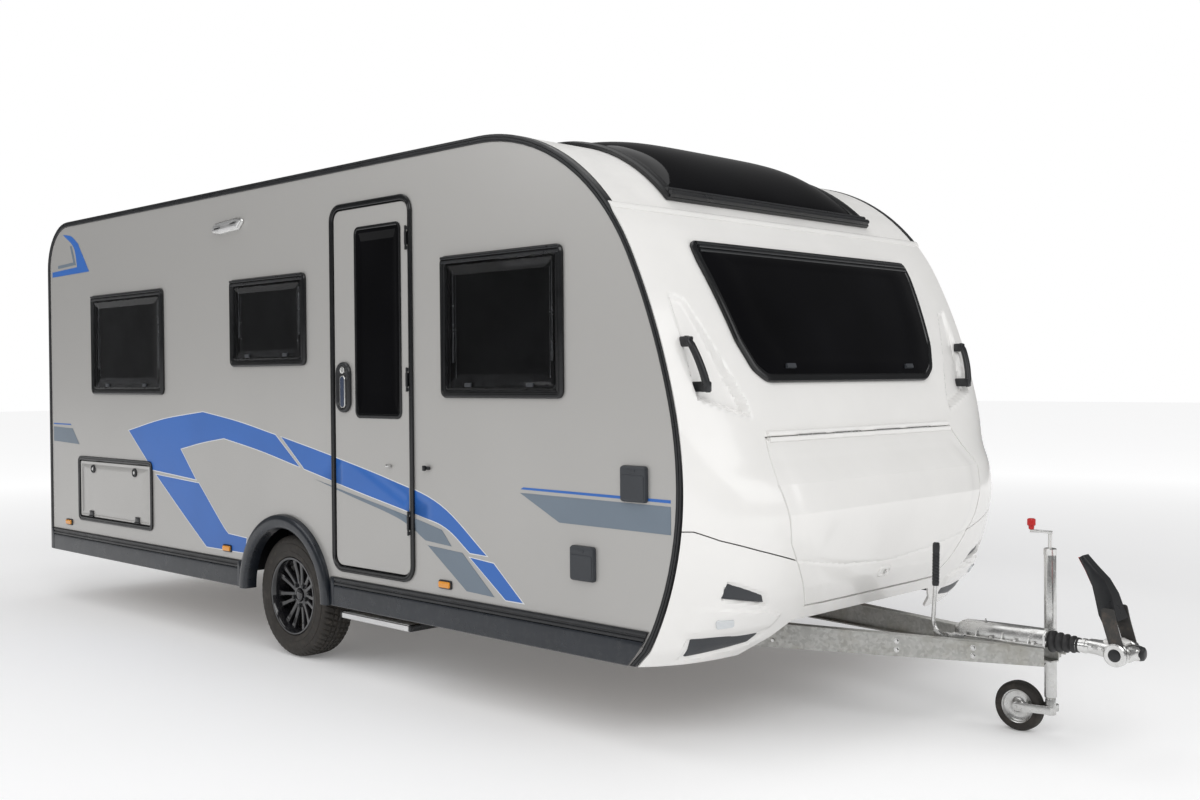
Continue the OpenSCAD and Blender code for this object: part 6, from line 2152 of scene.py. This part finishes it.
class CARAVAN_OT_chassis(bpy.types.Operator):
    """Add the bolts and the brake rod on the drawbar"""
    bl_idname = "caravan.chassis"
    bl_label = "Drawbar details"

    def execute(self, context):
        low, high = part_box("drawbar_left")
        x0, x1 = low.x, BEAM_X1
        y_far, y_near = high.y, 0.066
        size = settings().bolt
        details = []
        for s in (-1, 1):
            for t in (0.30, 0.42, 0.70, 0.86):
                bx = x0 + (x1 - x0) * t
                by = s * (y_far + (y_near - y_far) * t)
                normal = Vector(((y_far - y_near), s * (x1 - x0), 0)).normalized()
                depth = 0.128 + (0.070 - 0.128) * t
                for dz in (0.3, 0.7):
                    place = Vector((bx, by, BEAM_TOP - depth * dz)) - normal * 0.0015
                    details.append(bolt_head("bolt", place, normal, size * 0.75, 0.009))
        give(join("drawbar_bolts", details, 25), "bright", "zinc_steel")
        rod_piece = [pipe("brake_rod", [(x0 + 0.05, -0.012, 0.300), (TIP_X - 0.90, -0.012, 0.318),
                                        (TIP_X - 0.775, -0.060, 0.330)], 0.005),
                     rod("yoke", (x0 + 0.30, -0.012, 0.296), (x0 + 0.36, -0.012, 0.298), 0.011)]
        give(join("brake_linkage", rod_piece), "bright", "zinc_steel")
        return {"FINISHED"}


# ---------------------------------------------------------------- stage

CAMERA = (5.275, -4.775, 1.437)
YAW, PITCH, ROLL = 134.115, -0.766, -0.467
LENS, SENSOR = 38.576, 36.0
SHIFT = (-0.0007, -0.0042)
VIEW_REACH = 200
FLOOR_SIZE = 120
FLOOR_GLOW = (4.5, 13.0, 0.14, 0.56)    # from and to a distance from the middle, and its light
BACKDROP_LIGHT, BACKDROP_SEEN = 0.46, 1.0
BACKDROP_MIRRORED = -0.30               # change of the backdrop where it is mirrored


def softbox(name, place, target, size, power):
    bpy.ops.object.light_add(type="AREA", location=place)
    light = bpy.context.object
    light.rotation_euler = (Vector(target) - Vector(place)).to_track_quat("-Z", "Y").to_euler()
    light.name = name
    light.data.shape = "RECTANGLE"
    light.data.size, light.data.size_y = size
    light.data.energy = power


def floor_finish():
    mat, nodes, links, bsdf, coords = shader("Studio floor")
    soft = noise(nodes, links, coords, 0.4, 2.0)
    links.new(blend(nodes, links, soft, (0.93, 0.93, 0.935), (0.90, 0.90, 0.905)),
              bsdf.inputs["Base Color"])
    bsdf.inputs["Roughness"].default_value = 0.6
    reach = nodes.new("ShaderNodeVectorMath")
    reach.operation = "LENGTH"
    links.new(coords, reach.inputs[0])
    bsdf.inputs["Emission Color"].default_value = (1.0, 1.0, 1.0, 1)
    links.new(spread(nodes, links, reach.outputs["Value"], *FLOOR_GLOW),
              bsdf.inputs["Emission Strength"])
    return mat


class CARAVAN_OT_stage(bpy.types.Operator):
    """Set the pale floor, the soft lights, the plain surroundings and the camera"""
    bl_idname = "caravan.stage"
    bl_label = "Floor, lights and camera"

    def execute(self, context):
        bpy.ops.mesh.primitive_plane_add(size=FLOOR_SIZE, location=(0, 0, 0))
        floor = context.object
        floor.name = "studio_floor"
        floor.data.materials.append(floor_finish())
        softbox("key_light", (8.0, -7.0, 8.5), (0, 0, 1.0), (7, 7), 430)
        softbox("side_light", (-4.0, -10.0, 6.5), (-1, -1, 1.2), (9, 5), 245)
        softbox("front_light", (10.0, 3.0, 5.0), (2, 0, 1.0), (6, 5), 150)
        softbox("top_light", (-1.0, 0.0, 9.0), (-0.5, 0, 0), (10, 6), 240)
        world = bpy.data.worlds.new("Studio")
        world.use_nodes = True
        backdrop = world.node_tree.nodes["Background"]
        backdrop.inputs["Color"].default_value = (1.0, 1.0, 1.0, 1)
        nodes, links = world.node_tree.nodes, world.node_tree.links
        path = nodes.new("ShaderNodeLightPath")
        glow = spread(nodes, links, path.outputs["Is Camera Ray"], 0, 1,
                      BACKDROP_LIGHT, BACKDROP_SEEN)
        mirror = nodes.new("ShaderNodeMath")
        mirror.operation = "MULTIPLY_ADD"
        mirror.inputs[1].default_value = BACKDROP_MIRRORED
        links.new(path.outputs["Is Glossy Ray"], mirror.inputs[0])
        links.new(glow, mirror.inputs[2])
        links.new(mirror.outputs[0], backdrop.inputs["Strength"])
        context.scene.world = world
        context.scene.view_settings.view_transform = "Standard"
        bpy.ops.object.camera_add(location=CAMERA)
        camera = context.object
        camera.name = "view_camera"
        yaw, pitch, roll = (math.radians(a) for a in (YAW, PITCH, ROLL))
        forward = Vector((math.cos(yaw) * math.cos(pitch), math.sin(yaw) * math.cos(pitch),
                          math.sin(pitch)))
        right = Vector((math.sin(yaw), -math.cos(yaw), 0))
        up = right.cross(forward)
        side = right * math.cos(roll) + up * math.sin(roll)
        turn = Matrix((side, side.cross(forward), -forward)).transposed()
        camera.rotation_euler = turn.to_euler()
        camera.data.lens = LENS
        camera.data.sensor_width = SENSOR
        camera.data.shift_x, camera.data.shift_y = SHIFT
        camera.data.clip_end = VIEW_REACH
        context.scene.camera = camera
        return {"FINISHED"}


# ---------------------------------------------------------------- panel and run

OPERATORS = (CARAVAN_OT_finishes, CARAVAN_OT_front, CARAVAN_OT_roof_window,
             CARAVAN_OT_front_window, CARAVAN_OT_windows, CARAVAN_OT_edge_trims, CARAVAN_OT_door,
             CARAVAN_OT_hatches, CARAVAN_OT_skirts, CARAVAN_OT_fittings, CARAVAN_OT_rear,
             CARAVAN_OT_rooflights, CARAVAN_OT_stripes, CARAVAN_OT_wheels, CARAVAN_OT_step,
             CARAVAN_OT_coupling, CARAVAN_OT_handbrake, CARAVAN_OT_jockey, CARAVAN_OT_chassis,
             CARAVAN_OT_stage)


class CARAVAN_PT_panel(bpy.types.Panel):
    """Sizes, colours and the modelling steps in order"""
    bl_idname = "CARAVAN_PT_panel"
    bl_label = "Travel caravan"
    bl_space_type = "VIEW_3D"
    bl_region_type = "UI"
    bl_category = "Caravan"

    def draw(self, context):
        layout = self.layout
        for group in (context.scene.caravan_sizes, context.scene.caravan_colours):
            box = layout.box()
            for key in group.__annotations__:
                box.prop(group, key)
        column = layout.column(align=True)
        for operator in OPERATORS:
            column.operator(operator.bl_idname)


CLASSES = (CaravanColours, CaravanSizes, *OPERATORS, CARAVAN_PT_panel)


def register():
    for cls in CLASSES:
        bpy.utils.register_class(cls)
    bpy.types.Scene.caravan_colours = bpy.props.PointerProperty(type=CaravanColours)
    bpy.types.Scene.caravan_sizes = bpy.props.PointerProperty(type=CaravanSizes)


def unregister():
    del bpy.types.Scene.caravan_sizes
    del bpy.types.Scene.caravan_colours
    for cls in reversed(CLASSES):
        bpy.utils.unregister_class(cls)


def main():
    register()
    for operator in OPERATORS:
        group, step = operator.bl_idname.split(".")
        getattr(getattr(bpy.ops, group), step)()


if __name__ == "__main__":
    main()
